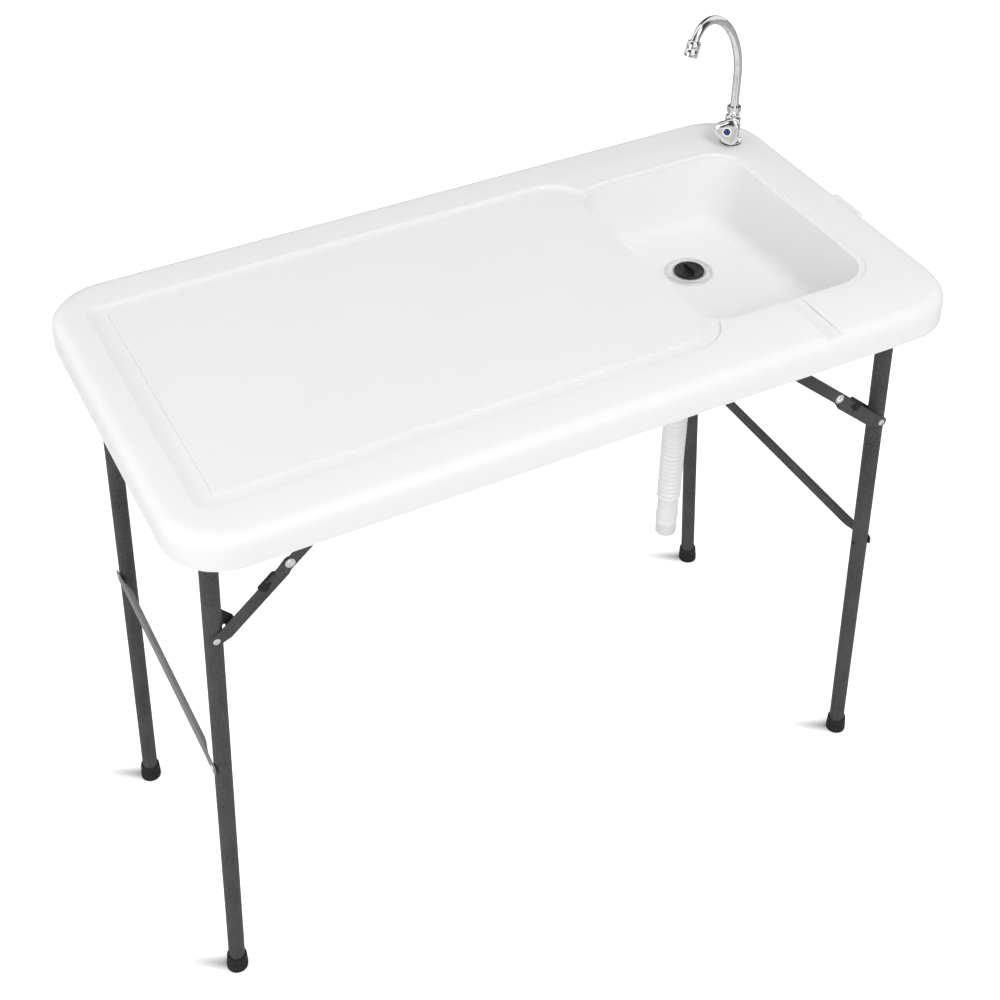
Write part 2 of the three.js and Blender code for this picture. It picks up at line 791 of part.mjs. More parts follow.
// The nozzle screws over the end of the tube, in line with it
function spoutNozzle(neck) {
  const end = 1;
  const tip = neck.getPointAt(end);
  const lean = neck.getTangentAt(end);
  const inner = spout.tubeRadius + 2 * gap;
  const lap = spout.nozzleLap;
  const mid = spout.nozzleLength / 2;
  const step = spout.nozzleWall / 2;
  const nozzle = turned([
    [inner, -lap],
    [inner + step, -lap],
    [spout.nozzleRadius, -lap / 2],
    [spout.nozzleRadius, mid - step],
    [spout.nozzleRadius - step, mid - step / 2],
    [spout.nozzleRadius - step, mid + step / 2],
    [spout.nozzleRadius, mid + step],
    [spout.nozzleRadius, spout.nozzleLength - step],
    [spout.nozzleRadius - step, spout.nozzleLength],
    [inner - spout.nozzleWall, spout.nozzleLength],
    [inner - spout.nozzleWall, gap],
    [inner, gap],
    [inner, -lap],
  ], facets.foot);
  return nozzle.rotateY(Math.atan2(lean.x, lean.z)).translate(tip.x, tip.y, tip.z);
}

// Folding legs

// A leg set with its places under the worktop
function standing(set) {
  const end = set.turn === 0 ? -slab.length / 2 + set.endMargin : slab.length / 2 - set.endMargin;
  const pivotZ = slab.height - set.pivotDrop;
  return {
    ...set,
    pivotX: end,
    pivotZ,
    legY: slab.width / 2 - set.rowMargin,
    rivetZ: pivotZ - set.braceDrop,
    crossbarZ: pivotZ * set.crossbarShare,
  };
}

// Faces of the brace's layers, counted outwards from the leg's axis
function flangeFace() {
  return leg.radius + brace.sideGap;
}

function plateFace() {
  return flangeFace() + brace.sheet + 2 * brace.sideGap + brace.headHeight;
}

function cheekFace() {
  return plateFace() + brace.sheet + brace.sideGap;
}

// The brace is straight when the leg stands and lies along the leg when it is folded
function braceAt(set) {
  const splay = rad(leg.splay);
  const drop = set.pivotZ - set.rivetZ;
  const reach = drop / Math.cos(splay);
  const anchor = reach + set.foldLap;
  const rivetX = -drop * Math.tan(splay);
  const span = Math.hypot(anchor - rivetX, drop);
  const slope = Math.atan2(drop, anchor - rivetX);
  return { reach, anchor, rivetX, slope, lower: (span - set.foldLap) / 2, upper: (span + set.foldLap) / 2 };
}

function legTube(set) {
  const length = set.pivotZ / Math.cos(rad(leg.splay));
  const foot0 = -length + foot.floor + gap;
  const tube = ring(leg.radius - leg.wall, leg.radius, foot0, leg.topReach, facets.tube);
  const through = leg.radius + overrun;
  const barZ = -(set.pivotZ - set.crossbarZ) / Math.cos(rad(leg.splay));
  return cut(tube,
    pinY(leg.pivotRadius + 2 * gap, 0, 0, -through, through, facets.small),
    pinY(brace.rivetRadius + 2 * gap, 0, -braceAt(set).reach, -through, through, facets.small),
    pinX(crossbar.rivetRadius + gap, 0, barZ, -through, through, facets.screw));
}

// A cap over the tube's end whose sole lies flat on the floor though the leg is splayed
function footCap(set) {
  const length = set.pivotZ / Math.cos(rad(leg.splay));
  const slack = foot.radius * Math.tan(rad(leg.splay));
  const sole = -length - slack;
  const inside = -length + foot.floor;
  const top = -length + foot.height;
  const inner = leg.radius + gap;
  const mid = (top + sole) / 2;
  const cap = turned([
    [0, sole],
    [foot.radius, sole],
    [foot.radius, mid - foot.grooveHeight],
    [foot.radius - foot.grooveDepth, mid - foot.grooveHeight / 2],
    [foot.radius - foot.grooveDepth, mid + foot.grooveHeight / 2],
    [foot.radius - foot.lip / 2, mid + foot.grooveHeight],
    [foot.radius - foot.lip, top - foot.lip],
    [foot.radius - 2 * foot.lip, top],
    [inner, top],
    [inner, inside],
    [0, inside],
  ], facets.foot);
  const reach = 2 * foot.radius;
  const footX = -set.pivotZ * Math.tan(rad(leg.splay));
  const floorCut = box(footX - reach, footX + reach, -reach, reach, -set.pivotZ - reach, -set.pivotZ)
    .rotateY(-rad(leg.splay));
  return cut(cap, floorCut);
}

function crossbarStrip(set) {
  const z = -(set.pivotZ - set.crossbarZ) / Math.cos(rad(leg.splay));
  const reach = set.legY + crossbar.endReach;
  const half = crossbar.height / 2;
  const face = leg.radius + gap;
  const strip = plate(-half, half, -reach, reach, crossbar.endReach / 2, crossbar.endReach / 2);
  for (const side of [-1, 1]) strip.holes.push(hole(0, side * set.legY, crossbar.rivetRadius + gap));
  return extruded(strip, face, face + crossbar.wall).rotateY(-Math.PI / 2).translate(0, 0, z);
}

// A channel that straddles the leg, open on its upper side
function lowerLink(set) {
  const { lower } = braceAt(set);
  const r = brace.endRadius;
  const outline = new THREE.Shape();
  outline.absarc(0, 0, r, -Math.PI / 2, Math.PI / 2, true);
  outline.lineTo(brace.webStart, brace.topReach);
  outline.lineTo(lower - brace.webStart, brace.topReach);
  outline.lineTo(lower, r);
  outline.absarc(lower, 0, r, Math.PI / 2, -Math.PI / 2, true);
  outline.lineTo(lower - brace.webStart, -brace.webReach);
  outline.lineTo(brace.webStart, -brace.webReach);
  outline.holes.push(hole(0, 0, brace.rivetRadius + 2 * gap));
  outline.holes.push(hole(lower, 0, brace.rivetRadius + 2 * gap));
  outline.holes.push(hole(lower - latch.back, 0, latch.pin + 2 * gap));
  const face = flangeFace();
  const outer = face + brace.sheet;
  const webFoot = -brace.webReach;
  const web = box(brace.webStart, lower - brace.webStart, -outer, outer, webFoot, webFoot + brace.sheet);
  return join(upright(outline, face, brace.sheet), upright(outline, -outer, brace.sheet), web);
}

// Two side plates outside the lower link, joined by a bridge beside the anchor
function upperLink(set) {
  const { upper } = braceAt(set);
  const r = brace.endRadius;
  const end = upper + brace.lap;
  const bridgeEnd = brace.bridgeStart + brace.bridgeLength;
  const chamfer = r / 2;
  const outline = new THREE.Shape();
  outline.absarc(0, 0, r, Math.PI / 2, -Math.PI / 2, false);
  outline.lineTo(brace.bridgeStart, -brace.bridgeReach);
  outline.lineTo(bridgeEnd, -brace.bridgeReach);
  outline.lineTo(bridgeEnd + r, -r);
  outline.lineTo(end - chamfer, -r);
  outline.lineTo(end, -r + chamfer);
  outline.lineTo(end, r - chamfer);
  outline.lineTo(end - chamfer, r);
  outline.holes.push(hole(0, 0, brace.rivetRadius + 2 * gap));
  outline.holes.push(hole(upper, 0, brace.rivetRadius + 2 * gap));
  const face = plateFace();
  const outer = face + brace.sheet;
  const bridgeFoot = -brace.bridgeReach;
  const bridge = box(brace.bridgeStart, bridgeEnd, -outer, outer, bridgeFoot, bridgeFoot + brace.sheet);
  return join(upright(outline, face, brace.sheet), upright(outline, -outer, brace.sheet), bridge);
}

// A pin along Y through both sides of the leg's piece, with a low head at each end
function headedPin(radius, headRadius, headHeight, face) {
  return turned([
    [0, -face - headHeight],
    [headRadius * headFlatShare, -face - headHeight],
    [headRadius, -face - headHeight / 2],
    [headRadius, -face],
    [radius, -face],
    [radius, face],
    [headRadius, face],
    [headRadius, face + headHeight / 2],
    [headRadius * headFlatShare, face + headHeight],
    [0, face + headHeight],
  ], facets.small).rotateX(-Math.PI / 2);
}

// A hooked lever on the outer side of the lower link
function catchLever(set, sign) {
  const face = flangeFace() + brace.sheet + gap;
  const shape = new THREE.Shape();
  const width = latch.fingerWidth;
  shape.absarc(0, 0, latch.hub, Math.PI, 2 * Math.PI, false);
  shape.lineTo(latch.hub + width / 2, latch.fingerRise - width);
  shape.lineTo(latch.fingerLength - width, latch.fingerRise - width);
  shape.lineTo(latch.fingerLength - width, latch.fingerRise - width - latch.hook / 2);
  shape.lineTo(latch.fingerLength, latch.fingerRise - width - latch.hook / 2);
  shape.lineTo(latch.fingerLength, latch.fingerRise - width / 2);
  shape.lineTo(latch.fingerLength - width / 2, latch.fingerRise);
  shape.lineTo(-latch.hub / 2, latch.fingerRise);
  shape.lineTo(-latch.hub, latch.fingerRise - width / 2);
  const y0 = sign > 0 ? face : -face - latch.sheet;
  const lever = upright(shape, y0, latch.sheet);
  const inner = flangeFace();
  const outer = face + latch.sheet / 2;
  const [start, end] = sign > 0 ? [inner, outer] : [-outer, -inner];
  const pin = pinY(latch.pin, 0, 0, start, end, facets.screw);
  return join(lever, pin).translate(braceAt(set).lower - latch.back, 0, 0);
}

// A bracket screwed under the deck whose cheeks hold the leg's pin, with a stop wall behind the leg
function pivotBracket(set) {
  const top = deckUnder - gap - set.pivotZ;
  const inner = leg.radius + bracket.cheekGap;
  const outer = inner + bracket.wall;
  const shape = new THREE.Shape();
  shape.moveTo(-bracket.backReach, top);
  shape.lineTo(-bracket.backReach, -bracket.backDrop);
  shape.absarc(0, 0, bracket.nose, rad(bracket.noseStart), rad(bracket.noseEnd), false);
  shape.lineTo(bracket.frontReach, top);
  shape.holes.push(hole(0, 0, leg.pivotRadius + 2 * gap));
  const back = -bracket.backReach - bracket.wall;
  const wall = box(back, -bracket.backReach, -outer, outer, -bracket.backDrop, top);
  const parts = [upright(shape, inner, bracket.wall), upright(shape, -outer, bracket.wall), wall];
  for (const side of [-1, 1]) {
    const near = side * (outer - bracket.wall / 2);
    const far = side * (outer + bracket.flange);
    const [y0, y1] = side < 0 ? [far, near] : [near, far];
    parts.push(box(back, bracket.frontReach, y0, y1, top - bracket.wall, top));
  }
  return join(...parts);
}

// The hat-shaped bracket that holds the upper end of a brace
function braceBracket(set) {
  const top = deckUnder - gap - set.pivotZ;
  const inner = cheekFace();
  const outer = inner + brace.cheekWall;
  const half = brace.bracketLength / 2;
  const reach = outer + bracket.flange;
  const shape = new THREE.Shape();
  shape.moveTo(-half, top);
  shape.lineTo(-brace.bracketNose, 0);
  shape.absarc(0, 0, brace.bracketNose, Math.PI, 2 * Math.PI, false);
  shape.lineTo(half, top);
  shape.holes.push(hole(0, 0, brace.rivetRadius + 2 * gap));
  const crown = box(-half, half, -reach, reach, top - brace.cheekWall, top);
  return join(upright(shape, inner, brace.cheekWall), upright(shape, -outer, brace.cheekWall), crown);
}

function placed(mesh, x, y, z, turn) {
  mesh.position.set(x, y, z);
  mesh.rotation.y = turn;
  return mesh;
}

function legSet(set) {
  const group = new THREE.Group();
  group.position.x = set.pivotX;
  group.rotation.z = rad(set.turn);
  const swing = new THREE.Group();
  swing.position.z = set.pivotZ;
  swing.rotation.y = rad(leg.splay);
  group.add(swing);
  const { reach, anchor, rivetX, slope } = braceAt(set);
  const tube = legTube(set);
  const cap = footCap(set);
  const isTurned = set.turn !== 0;
  const pinFace = leg.radius + bracket.cheekGap + bracket.wall + gap;
  const pivotPin = headedPin(leg.pivotRadius, leg.pivotRadius + bracket.wall, bracket.wall, pinFace);
  const rivetFace = flangeFace() + brace.sheet + gap;
  const legRivet = headedPin(brace.rivetRadius, brace.headRadius, brace.headHeight, rivetFace);
  for (const side of [-1, 1]) {
    const corner = `${set.name}_${(side < 0) !== isTurned ? 'front' : 'back'}`;
    const y = side * set.legY;
    swing.add(placed(node(`${corner}_leg`, tube, 'steel'), 0, y, 0, 0));
    swing.add(placed(node(`${corner}_foot`, cap, 'rubber'), 0, y, 0, 0));
    swing.add(placed(node(`${corner}_leg_rivet`, legRivet, 'zinc'), 0, y, -reach, 0));
    group.add(placed(node(`${corner}_pivot_bracket`, pivotBracket(set), 'steel'), 0, y, set.pivotZ, 0));
    group.add(placed(node(`${corner}_pivot_pin`, pivotPin, 'zinc'), 0, y, set.pivotZ, 0));
    group.add(placed(node(`${corner}_brace_bracket`, braceBracket(set), 'steel'), anchor, y, set.pivotZ, 0));
    group.add(placed(node(`${corner}_lower_link`, lowerLink(set), 'steel'), rivetX, y, set.rivetZ, -slope));
    const upper = node(`${corner}_upper_link`, upperLink(set), 'steel');
    group.add(placed(upper, anchor, y, set.pivotZ, Math.PI - slope));
    group.add(placed(node(`${corner}_catch`, catchLever(set, side), 'black'), rivetX, y, set.rivetZ, -slope));
  }
  swing.add(node(`${set.name}_crossbar`, crossbarStrip(set), 'steel'));
  return group;
}

const stand = new THREE.Group();
stand.add(worktop());
stand.add(drainParts());
stand.add(tapParts());
stand.add(legSet(standing(leftSet)));
stand.add(legSet(standing(rightSet)));

// The feet stand out past the worktop's left end, so the origin is centred under the whole footprint
const leftLegs = standing(leftSet);
const leftFootX = leftLegs.pivotX - leftLegs.pivotZ * Math.tan(rad(leg.splay));
const reachLeft = leftFootX - foot.radius / Math.cos(rad(leg.splay));
const reachRight = slab.length / 2 + slab.gripReach;
stand.position.x = -(reachLeft + reachRight) / 2;

export default stand;
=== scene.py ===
"""Looks of the camping sink stand: finishes, smooth tap, bellows hose and the small fasteners."""

import json
import math
from collections import namedtuple

import bmesh
import bpy
from mathutils import Matrix, Vector

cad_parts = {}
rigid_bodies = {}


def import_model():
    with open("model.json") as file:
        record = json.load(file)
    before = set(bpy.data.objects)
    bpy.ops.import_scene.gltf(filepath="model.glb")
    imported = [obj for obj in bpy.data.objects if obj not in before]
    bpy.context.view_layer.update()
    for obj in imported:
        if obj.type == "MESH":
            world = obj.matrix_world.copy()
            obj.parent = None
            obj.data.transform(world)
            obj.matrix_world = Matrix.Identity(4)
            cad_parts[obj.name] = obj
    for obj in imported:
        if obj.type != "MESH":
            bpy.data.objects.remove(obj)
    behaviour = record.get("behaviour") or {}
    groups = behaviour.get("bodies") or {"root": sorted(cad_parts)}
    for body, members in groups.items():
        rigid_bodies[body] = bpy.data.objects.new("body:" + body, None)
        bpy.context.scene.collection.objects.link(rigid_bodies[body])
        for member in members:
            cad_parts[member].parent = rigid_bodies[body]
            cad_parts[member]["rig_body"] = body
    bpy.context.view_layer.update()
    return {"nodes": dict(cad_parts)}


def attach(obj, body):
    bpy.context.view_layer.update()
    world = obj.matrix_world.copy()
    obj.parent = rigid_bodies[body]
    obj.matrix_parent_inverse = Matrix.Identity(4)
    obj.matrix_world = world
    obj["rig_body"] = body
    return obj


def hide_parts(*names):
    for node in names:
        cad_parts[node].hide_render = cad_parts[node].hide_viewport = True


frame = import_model()

MM = 0.001
CENTRE_SHIFT = 7.022  # the worktop's centre lies this far to the right of the origin


def at(x, y, z):
    """A point given in millimetres from the worktop's centre line and the ground."""
    return Vector(((x + CENTRE_SHIFT) * MM, y * MM, z * MM))


def add_object(name, data):
    """A new object in the scene."""
    thing = bpy.data.objects.new(name, data)
    bpy.context.scene.collection.objects.link(thing)
    return thing


# Camera

PICTURE_PIXELS = 1000
FOCAL_PIXELS = 1633.07
SENSOR_WIDTH = 36
AZIMUTH, ELEVATION, DISTANCE = math.radians(-27.414), math.radians(41.623), 2.537
LOOK_AT = at(10.7, 28.1, 536.4)


def place_camera():
    data = bpy.data.cameras.new("photo_camera")
    data.sensor_fit = "HORIZONTAL"
    data.sensor_width = SENSOR_WIDTH
    data.lens = FOCAL_PIXELS * SENSOR_WIDTH / PICTURE_PIXELS
    camera = add_object("photo_camera", data)
    level = math.cos(ELEVATION)
    back = Vector((math.sin(AZIMUTH) * level, -math.cos(AZIMUTH) * level, math.sin(ELEVATION)))
    camera.location = LOOK_AT + back * DISTANCE
    camera.rotation_euler = (-back).to_track_quat("-Z", "Y").to_euler()
    bpy.context.scene.camera = camera


place_camera()


# Effect groups

COLOUR, NUMBER = "NodeSocketColor", "NodeSocketFloat"
SURFACE_OUTPUTS = [("Color", COLOUR), ("Roughness", NUMBER), ("Height", NUMBER)]


def grey(value, tint=0.0):
    return (value, value, value * (1 + tint), 1)


def group_of(name, inputs, outputs):
    """An empty node group with its named sockets, and its input and output nodes."""
    tree = bpy.data.node_groups.new(name, "ShaderNodeTree")
    for socket, kind, value in inputs:
        made = tree.interface.new_socket(name=socket, in_out="INPUT", socket_type=kind)
        made.default_value = value
    for socket, kind in outputs:
        tree.interface.new_socket(name=socket, in_out="OUTPUT", socket_type=kind)
    return tree, tree.nodes.new("NodeGroupInput"), tree.nodes.new("NodeGroupOutput")


def feed(tree, socket, value):
    """Sets a socket to a number or colour, or links it to another node's output."""
    if isinstance(value, (int, float, tuple)):
        socket.default_value = value
    else:
        tree.links.new(value, socket)


def math_node(tree, operation, *values):
    node = tree.nodes.new("ShaderNodeMath")
    node.operation = operation
    for socket, value in zip(node.inputs, values):
        feed(tree, socket, value)
    return node.outputs[0]


def noise(tree, vector, scale, detail=2.0, roughness=0.5, distortion=0.0):
    node = tree.nodes.new("ShaderNodeTexNoise")
    tree.links.new(vector, node.inputs["Vector"])
    feed(tree, node.inputs["Scale"], scale)
    node.inputs["Detail"].default_value = detail
    node.inputs["Roughness"].default_value = roughness
    node.inputs["Distortion"].default_value = distortion
    return node.outputs["Fac"]


def remap(tree, value, low, high, to_low, to_high):
    node = tree.nodes.new("ShaderNodeMapRange")
    tree.links.new(value, node.inputs["Value"])
    for name, number in (("From Min", low), ("From Max", high), ("To Min", to_low), ("To Max", to_high)):
        feed(tree, node.inputs[name], number)
    return node.outputs["Result"]


def mix_colour(tree, factor, first, second):
    node = tree.nodes.new("ShaderNodeMix")
    node.data_type = "RGBA"
    feed(tree, node.inputs["Factor"], factor)
    for name, value in (("A", first), ("B", second)):
        socket = [s for s in node.inputs if s.name == name and s.type == "RGBA"][0]
        feed(tree, socket, value)
    return [s for s in node.outputs if s.type == "RGBA"][0]


def object_place(tree):
    return tree.nodes.new("ShaderNodeTexCoord").outputs["Object"]


def moulded_grain():
    """Fine pebble of moulded plastic or rubber, with cloudy tone and faint rubbed scuffs."""
    tree, given, result = group_of(
        "moulded_grain",
        [
            ("Tone", COLOUR, grey(0.8)),
            ("Shade", COLOUR, grey(0.7)),
            ("Grain Scale", NUMBER, 900.0),
            ("Roughness", NUMBER, 0.5),
            ("Variation", NUMBER, 0.08),
        ],
        SURFACE_OUTPUTS,
    )
    place = object_place(tree)
    grain = noise(tree, place, given.outputs["Grain Scale"], detail=3, roughness=0.6)
    cloud = noise(tree, place, scale=6.0, detail=3, roughness=0.55)
    scuff = noise(tree, place, scale=38.0, detail=5, roughness=0.7, distortion=1.2)
    worn = remap(tree, scuff, 0.56, 0.74, 0.0, 1.0)
    shade_share = remap(tree, cloud, 0.35, 0.7, 0.0, 0.75)
    tone = mix_colour(tree, shade_share, given.outputs["Tone"], given.outputs["Shade"])
    tree.links.new(tone, result.inputs["Color"])
    variation = given.outputs["Variation"]
    spread = math_node(tree, "MULTIPLY", variation, math_node(tree, "SUBTRACT", grain, 0.5))
    rubbed = math_node(tree, "MULTIPLY", variation, worn)
    uneven = math_node(tree, "ADD", spread, rubbed)
    rough = math_node(tree, "ADD", given.outputs["Roughness"], uneven)
    tree.links.new(rough, result.inputs["Roughness"])
    height = math_node(tree, "ADD", grain, math_node(tree, "MULTIPLY", worn, 0.18))
    tree.links.new(height, result.inputs["Height"])
    return tree


def coat_speckle():
    """Hammered powder coat: small shallow cells, light flecks and slow streaks in the tone."""
    tree, given, result = group_of(
        "coat_speckle",
        [
            ("Coat", COLOUR, grey(0.1)),
            ("Fleck", COLOUR, grey(0.2)),
            ("Cell Scale", NUMBER, 700.0),
            ("Roughness", NUMBER, 0.5),
        ],
        SURFACE_OUTPUTS,
    )
    place = object_place(tree)
    cells = tree.nodes.new("ShaderNodeTexVoronoi")
    cells.feature = "SMOOTH_F1"
    tree.links.new(place, cells.inputs["Vector"])
    tree.links.new(given.outputs["Cell Scale"], cells.inputs["Scale"])
    cells.inputs["Smoothness"].default_value = 0.6
    flecks = noise(tree, place, scale=900.0, detail=2, roughness=0.6)
    streaks = noise(tree, place, scale=14.0, detail=3, roughness=0.5)
    fleck_share = remap(tree, flecks, 0.5, 0.66, 0.0, 1.0)
    streak_share = remap(tree, streaks, 0.35, 0.7, 0.0, 0.35)
    base = mix_colour(tree, streak_share, given.outputs["Coat"], given.outputs["Fleck"])
    tone = mix_colour(tree, fleck_share, base, given.outputs["Fleck"])
    tree.links.new(tone, result.inputs["Color"])
    uneven = remap(tree, streaks, 0.3, 0.7, -0.07, 0.07)
    rough = math_node(tree, "ADD", given.outputs["Roughness"], uneven)
    tree.links.new(rough, result.inputs["Roughness"])
    height = math_node(tree, "SUBTRACT", 1.0, cells.outputs["Distance"])
    tree.links.new(height, result.inputs["Height"])
    return tree


def metal_polish():
    """Fine polishing marks and water spots on bright metal."""
    tree, given, result = group_of(
        "metal_polish",
        [
            ("Bright", COLOUR, grey(0.8)),
            ("Dull", COLOUR, grey(0.6)),
            ("Mark Scale", NUMBER, 400.0),
            ("Roughness", NUMBER, 0.2),
            ("Spread", NUMBER, 0.1),
        ],
        SURFACE_OUTPUTS,
    )
    place = object_place(tree)
    stretched = tree.nodes.new("ShaderNodeMapping")
    stretched.inputs["Scale"].default_value = (1.0, 1.0, 0.12)
    tree.links.new(place, stretched.inputs["Vector"])
    marks = noise(tree, stretched.outputs["Vector"], given.outputs["Mark Scale"], detail=3, roughness=0.6)
    spots = noise(tree, place, scale=90.0, detail=4, roughness=0.6, distortion=0.5)
    spot_share = remap(tree, spots, 0.5, 0.75, 0.0, 1.0)
    tone = mix_colour(tree, spot_share, given.outputs["Bright"], given.outputs["Dull"])
    tree.links.new(tone, result.inputs["Color"])
    uneven = math_node(tree, "ADD", marks, spot_share)
    shift = math_node(tree, "MULTIPLY", given.outputs["Spread"], uneven)
    rough = math_node(tree, "ADD", given.outputs["Roughness"], shift)
    tree.links.new(rough, result.inputs["Roughness"])
    tree.links.new(marks, result.inputs["Height"])
    return tree


GRAIN, SPECKLE, POLISH = moulded_grain(), coat_speckle(), metal_polish()


# Finishes


def finish(name, group, values, bump, bump_distance, **plain):
    """A material whose colour, roughness and relief come from one effect group."""
    material = bpy.data.materials.new(name)
    material.use_nodes = True
    tree = material.node_tree
    shader = tree.nodes["Principled BSDF"]
    effect = tree.nodes.new("ShaderNodeGroup")
    effect.node_tree = group
    for socket, value in values.items():
        effect.inputs[socket].default_value = value
    relief = tree.nodes.new("ShaderNodeBump")
    relief.inputs["Strength"].default_value = bump
    relief.inputs["Distance"].default_value = bump_distance
    tree.links.new(effect.outputs["Height"], relief.inputs["Height"])
    tree.links.new(effect.outputs["Color"], shader.inputs["Base Color"])
    tree.links.new(effect.outputs["Roughness"], shader.inputs["Roughness"])
    tree.links.new(relief.outputs["Normal"], shader.inputs["Normal"])
    for socket, value in plain.items():
        shader.inputs[socket.replace("_", " ")].default_value = value
    return material


def moulded(name, tone, shade, scale, roughness, variation, bump, bump_distance, **plain):
    values = {"Tone": tone, "Shade": shade, "Grain Scale": scale, "Roughness": roughness}
    values["Variation"] = variation
    return finish(name, GRAIN, values, bump, bump_distance, **plain)


def coated(name, coat, fleck, scale, roughness, bump, bump_distance, **plain):
    values = {"Coat": coat, "Fleck": fleck, "Cell Scale": scale, "Roughness": roughness}
    return finish(name, SPECKLE, values, bump, bump_distance, **plain)


def polished(name, bright, dull, scale, roughness, spread, bump, bump_distance, **plain):
    values = {"Bright": bright, "Dull": dull, "Mark Scale": scale, "Roughness": roughness, "Spread": spread}
    return finish(name, POLISH, values, bump, bump_distance, **plain)


WHITE_PLASTIC = moulded(
    "white_moulding",
    tone=grey(0.86, -0.004),
    shade=grey(0.845, -0.002),
    scale=1100.0,
    roughness=0.42,
    variation=0.1,
    bump=0.12,
    bump_distance=0.0004,
    Specular_IOR_Level=0.4,
)
HOSE_PLASTIC = moulded(
    "hose_plastic",
    tone=grey(0.86),
    shade=grey(0.82),
    scale=700.0,
    roughness=0.38,
    variation=0.08,
    bump=0.08,
    bump_distance=0.0003,
    Specular_IOR_Level=0.45,
)
BLACK_PLASTIC = moulded(
    "black_plastic",
    tone=grey(0.012),
    shade=grey(0.022),
    scale=1300.0,
    roughness=0.4,
    variation=0.2,
    bump=0.2,
    bump_distance=0.0003,
    Specular_IOR_Level=0.3,
)
BLACK_RUBBER = moulded(
    "black_rubber",
    tone=grey(0.015),
    shade=grey(0.028),
    scale=800.0,
    roughness=0.6,
    variation=0.2,
    bump=0.25,
    bump_distance=0.0004,
    Specular_IOR_Level=0.25,
)
GREY_COAT = coated(
    "grey_coat",
    coat=grey(0.032),
    fleck=grey(0.115),
    scale=650.0,
    roughness=0.5,
    bump=0.35,
    bump_distance=0.0004,
    Specular_IOR_Level=0.35,
)
PALE_COAT = coated(
    "pale_coat",
    coat=grey(0.17),
    fleck=grey(0.3),
    scale=650.0,
    roughness=0.42,
    bump=0.3,
    bump_distance=0.0004,
)
CHROME = polished(
    "chrome_trim",
    bright=grey(0.86, 0.01),
    dull=grey(0.74),
    scale=500.0,
    roughness=0.04,
    spread=0.05,
    bump=0.03,
    bump_distance=0.0002,
    Metallic=1.0,
)
ZINC = polished(
    "bare_metal",
    bright=grey(0.88, 0.01),
    dull=grey(0.68),
    scale=700.0,
    roughness=0.26,
    spread=0.16,
    bump=0.12,
    bump_distance=0.0002,
    Metallic=0.6,
)
SATIN_STEEL = polished(
    "satin_steel",
    bright=grey(0.9),
    dull=grey(0.78),
    scale=900.0,
    roughness=0.34,
    spread=0.12,
    bump=0.1,
    bump_distance=0.0002,
    Metallic=0.7,
)
BLUE_ENAMEL = moulded(
    "blue_enamel",
    tone=(0.012, 0.02, 0.16, 1),
    shade=(0.01, 0.015, 0.12, 1),
    scale=900.0,
    roughness=0.18,
    variation=0.05,
    bump=0.03,
    bump_distance=0.0002,
    Coat_Weight=0.6,
)
WHITE_ENAMEL = moulded(
    "white_enamel",
    tone=grey(0.8),
    shade=grey(0.76),
    scale=900.0,
    roughness=0.22,
    variation=0.05,
    bump=0.03,
    bump_distance=0.0002,
    Coat_Weight=0.4,
)


# Making pieces

CLOSE = 1e-6  # metres; points nearer than this are one point
CLOSE_IN_CAD = 2e-6
FLAT_ANGLE = math.radians(0.6)
SHARP = 35  # degrees between faces from which an edge stays sharp
WORKTOP_SHARP = 30
RIM_ROUNDING = 0.45 * MM
RIMS_ABOVE, GRIP_FROM = 0.934, 0.562  # heights and places along the worktop, in metres


def settle(mesh_data, name, material, body, replaced=(), sharp=SHARP):
    """Places a finished mesh as a piece that rides on a body."""
    work = bmesh.new()
    work.from_mesh(mesh_data)
    limit = math.radians(sharp)
    for face in work.faces:
        face.smooth = True
    for edge in work.edges:
        edge.smooth = len(edge.link_faces) == 2 and edge.calc_face_angle(math.pi) < limit
    work.to_mesh(mesh_data)
    work.free()
    piece = add_object(name, mesh_data)
    mesh_data.materials.clear()
    mesh_data.materials.append(material)
    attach(piece, body)
    if replaced:
        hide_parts(*replaced)
    return piece


def mesh_from(work, name):
    """Turns a bmesh into mesh data and frees it."""
    mesh_data = bpy.data.meshes.new(name)
    work.to_mesh(mesh_data)
    work.free()
    return mesh_data


def piece_from(work, name, material, body, slot, replaced=(), sharp=SHARP, move=None):
    """Closes, turns outwards and places what a bmesh holds."""
    bmesh.ops.remove_doubles(work, verts=work.verts, dist=CLOSE)
    bmesh.ops.recalc_face_normals(work, faces=work.faces)
    if move is not None:
        bmesh.ops.transform(work, matrix=move, verts=work.verts)
    return settle(mesh_from(work, name), name, material, body, replaced, sharp)


def add_to(work, extra, name):
    """Adds what one bmesh holds to another and frees the first."""
    mesh_data = mesh_from(extra, name)
    work.from_mesh(mesh_data)
    bpy.data.meshes.remove(mesh_data)


def rounded(piece, name, width):
    rounding = piece.modifiers.new(name, "BEVEL")
    rounding.width = width
    rounding.segments = 2
    rounding.harden_normals = True
    return rounding


def dressed(node, material, edge=0.0, sharp=SHARP):
    """A merged copy of a CAD solid with rounded edges and smooth shading, in that solid's place."""
    source = frame["nodes"][node]
    name = node + "_finish"
    work = bmesh.new()
    work.from_mesh(source.data)
    bmesh.ops.remove_doubles(work, verts=work.verts, dist=CLOSE_IN_CAD)
    bmesh.ops.dissolve_limit(work, angle_limit=FLAT_ANGLE, verts=work.verts, edges=work.edges)
    piece = settle(mesh_from(work, name), name, material, source["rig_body"], (node,), sharp)
    if edge:
        rounding = rounded(piece, "rounding", edge)
        rounding.limit_method = "ANGLE"
        rounding.angle_limit = math.radians(sharp)
        rounding.use_clamp_overlap = True
    return piece


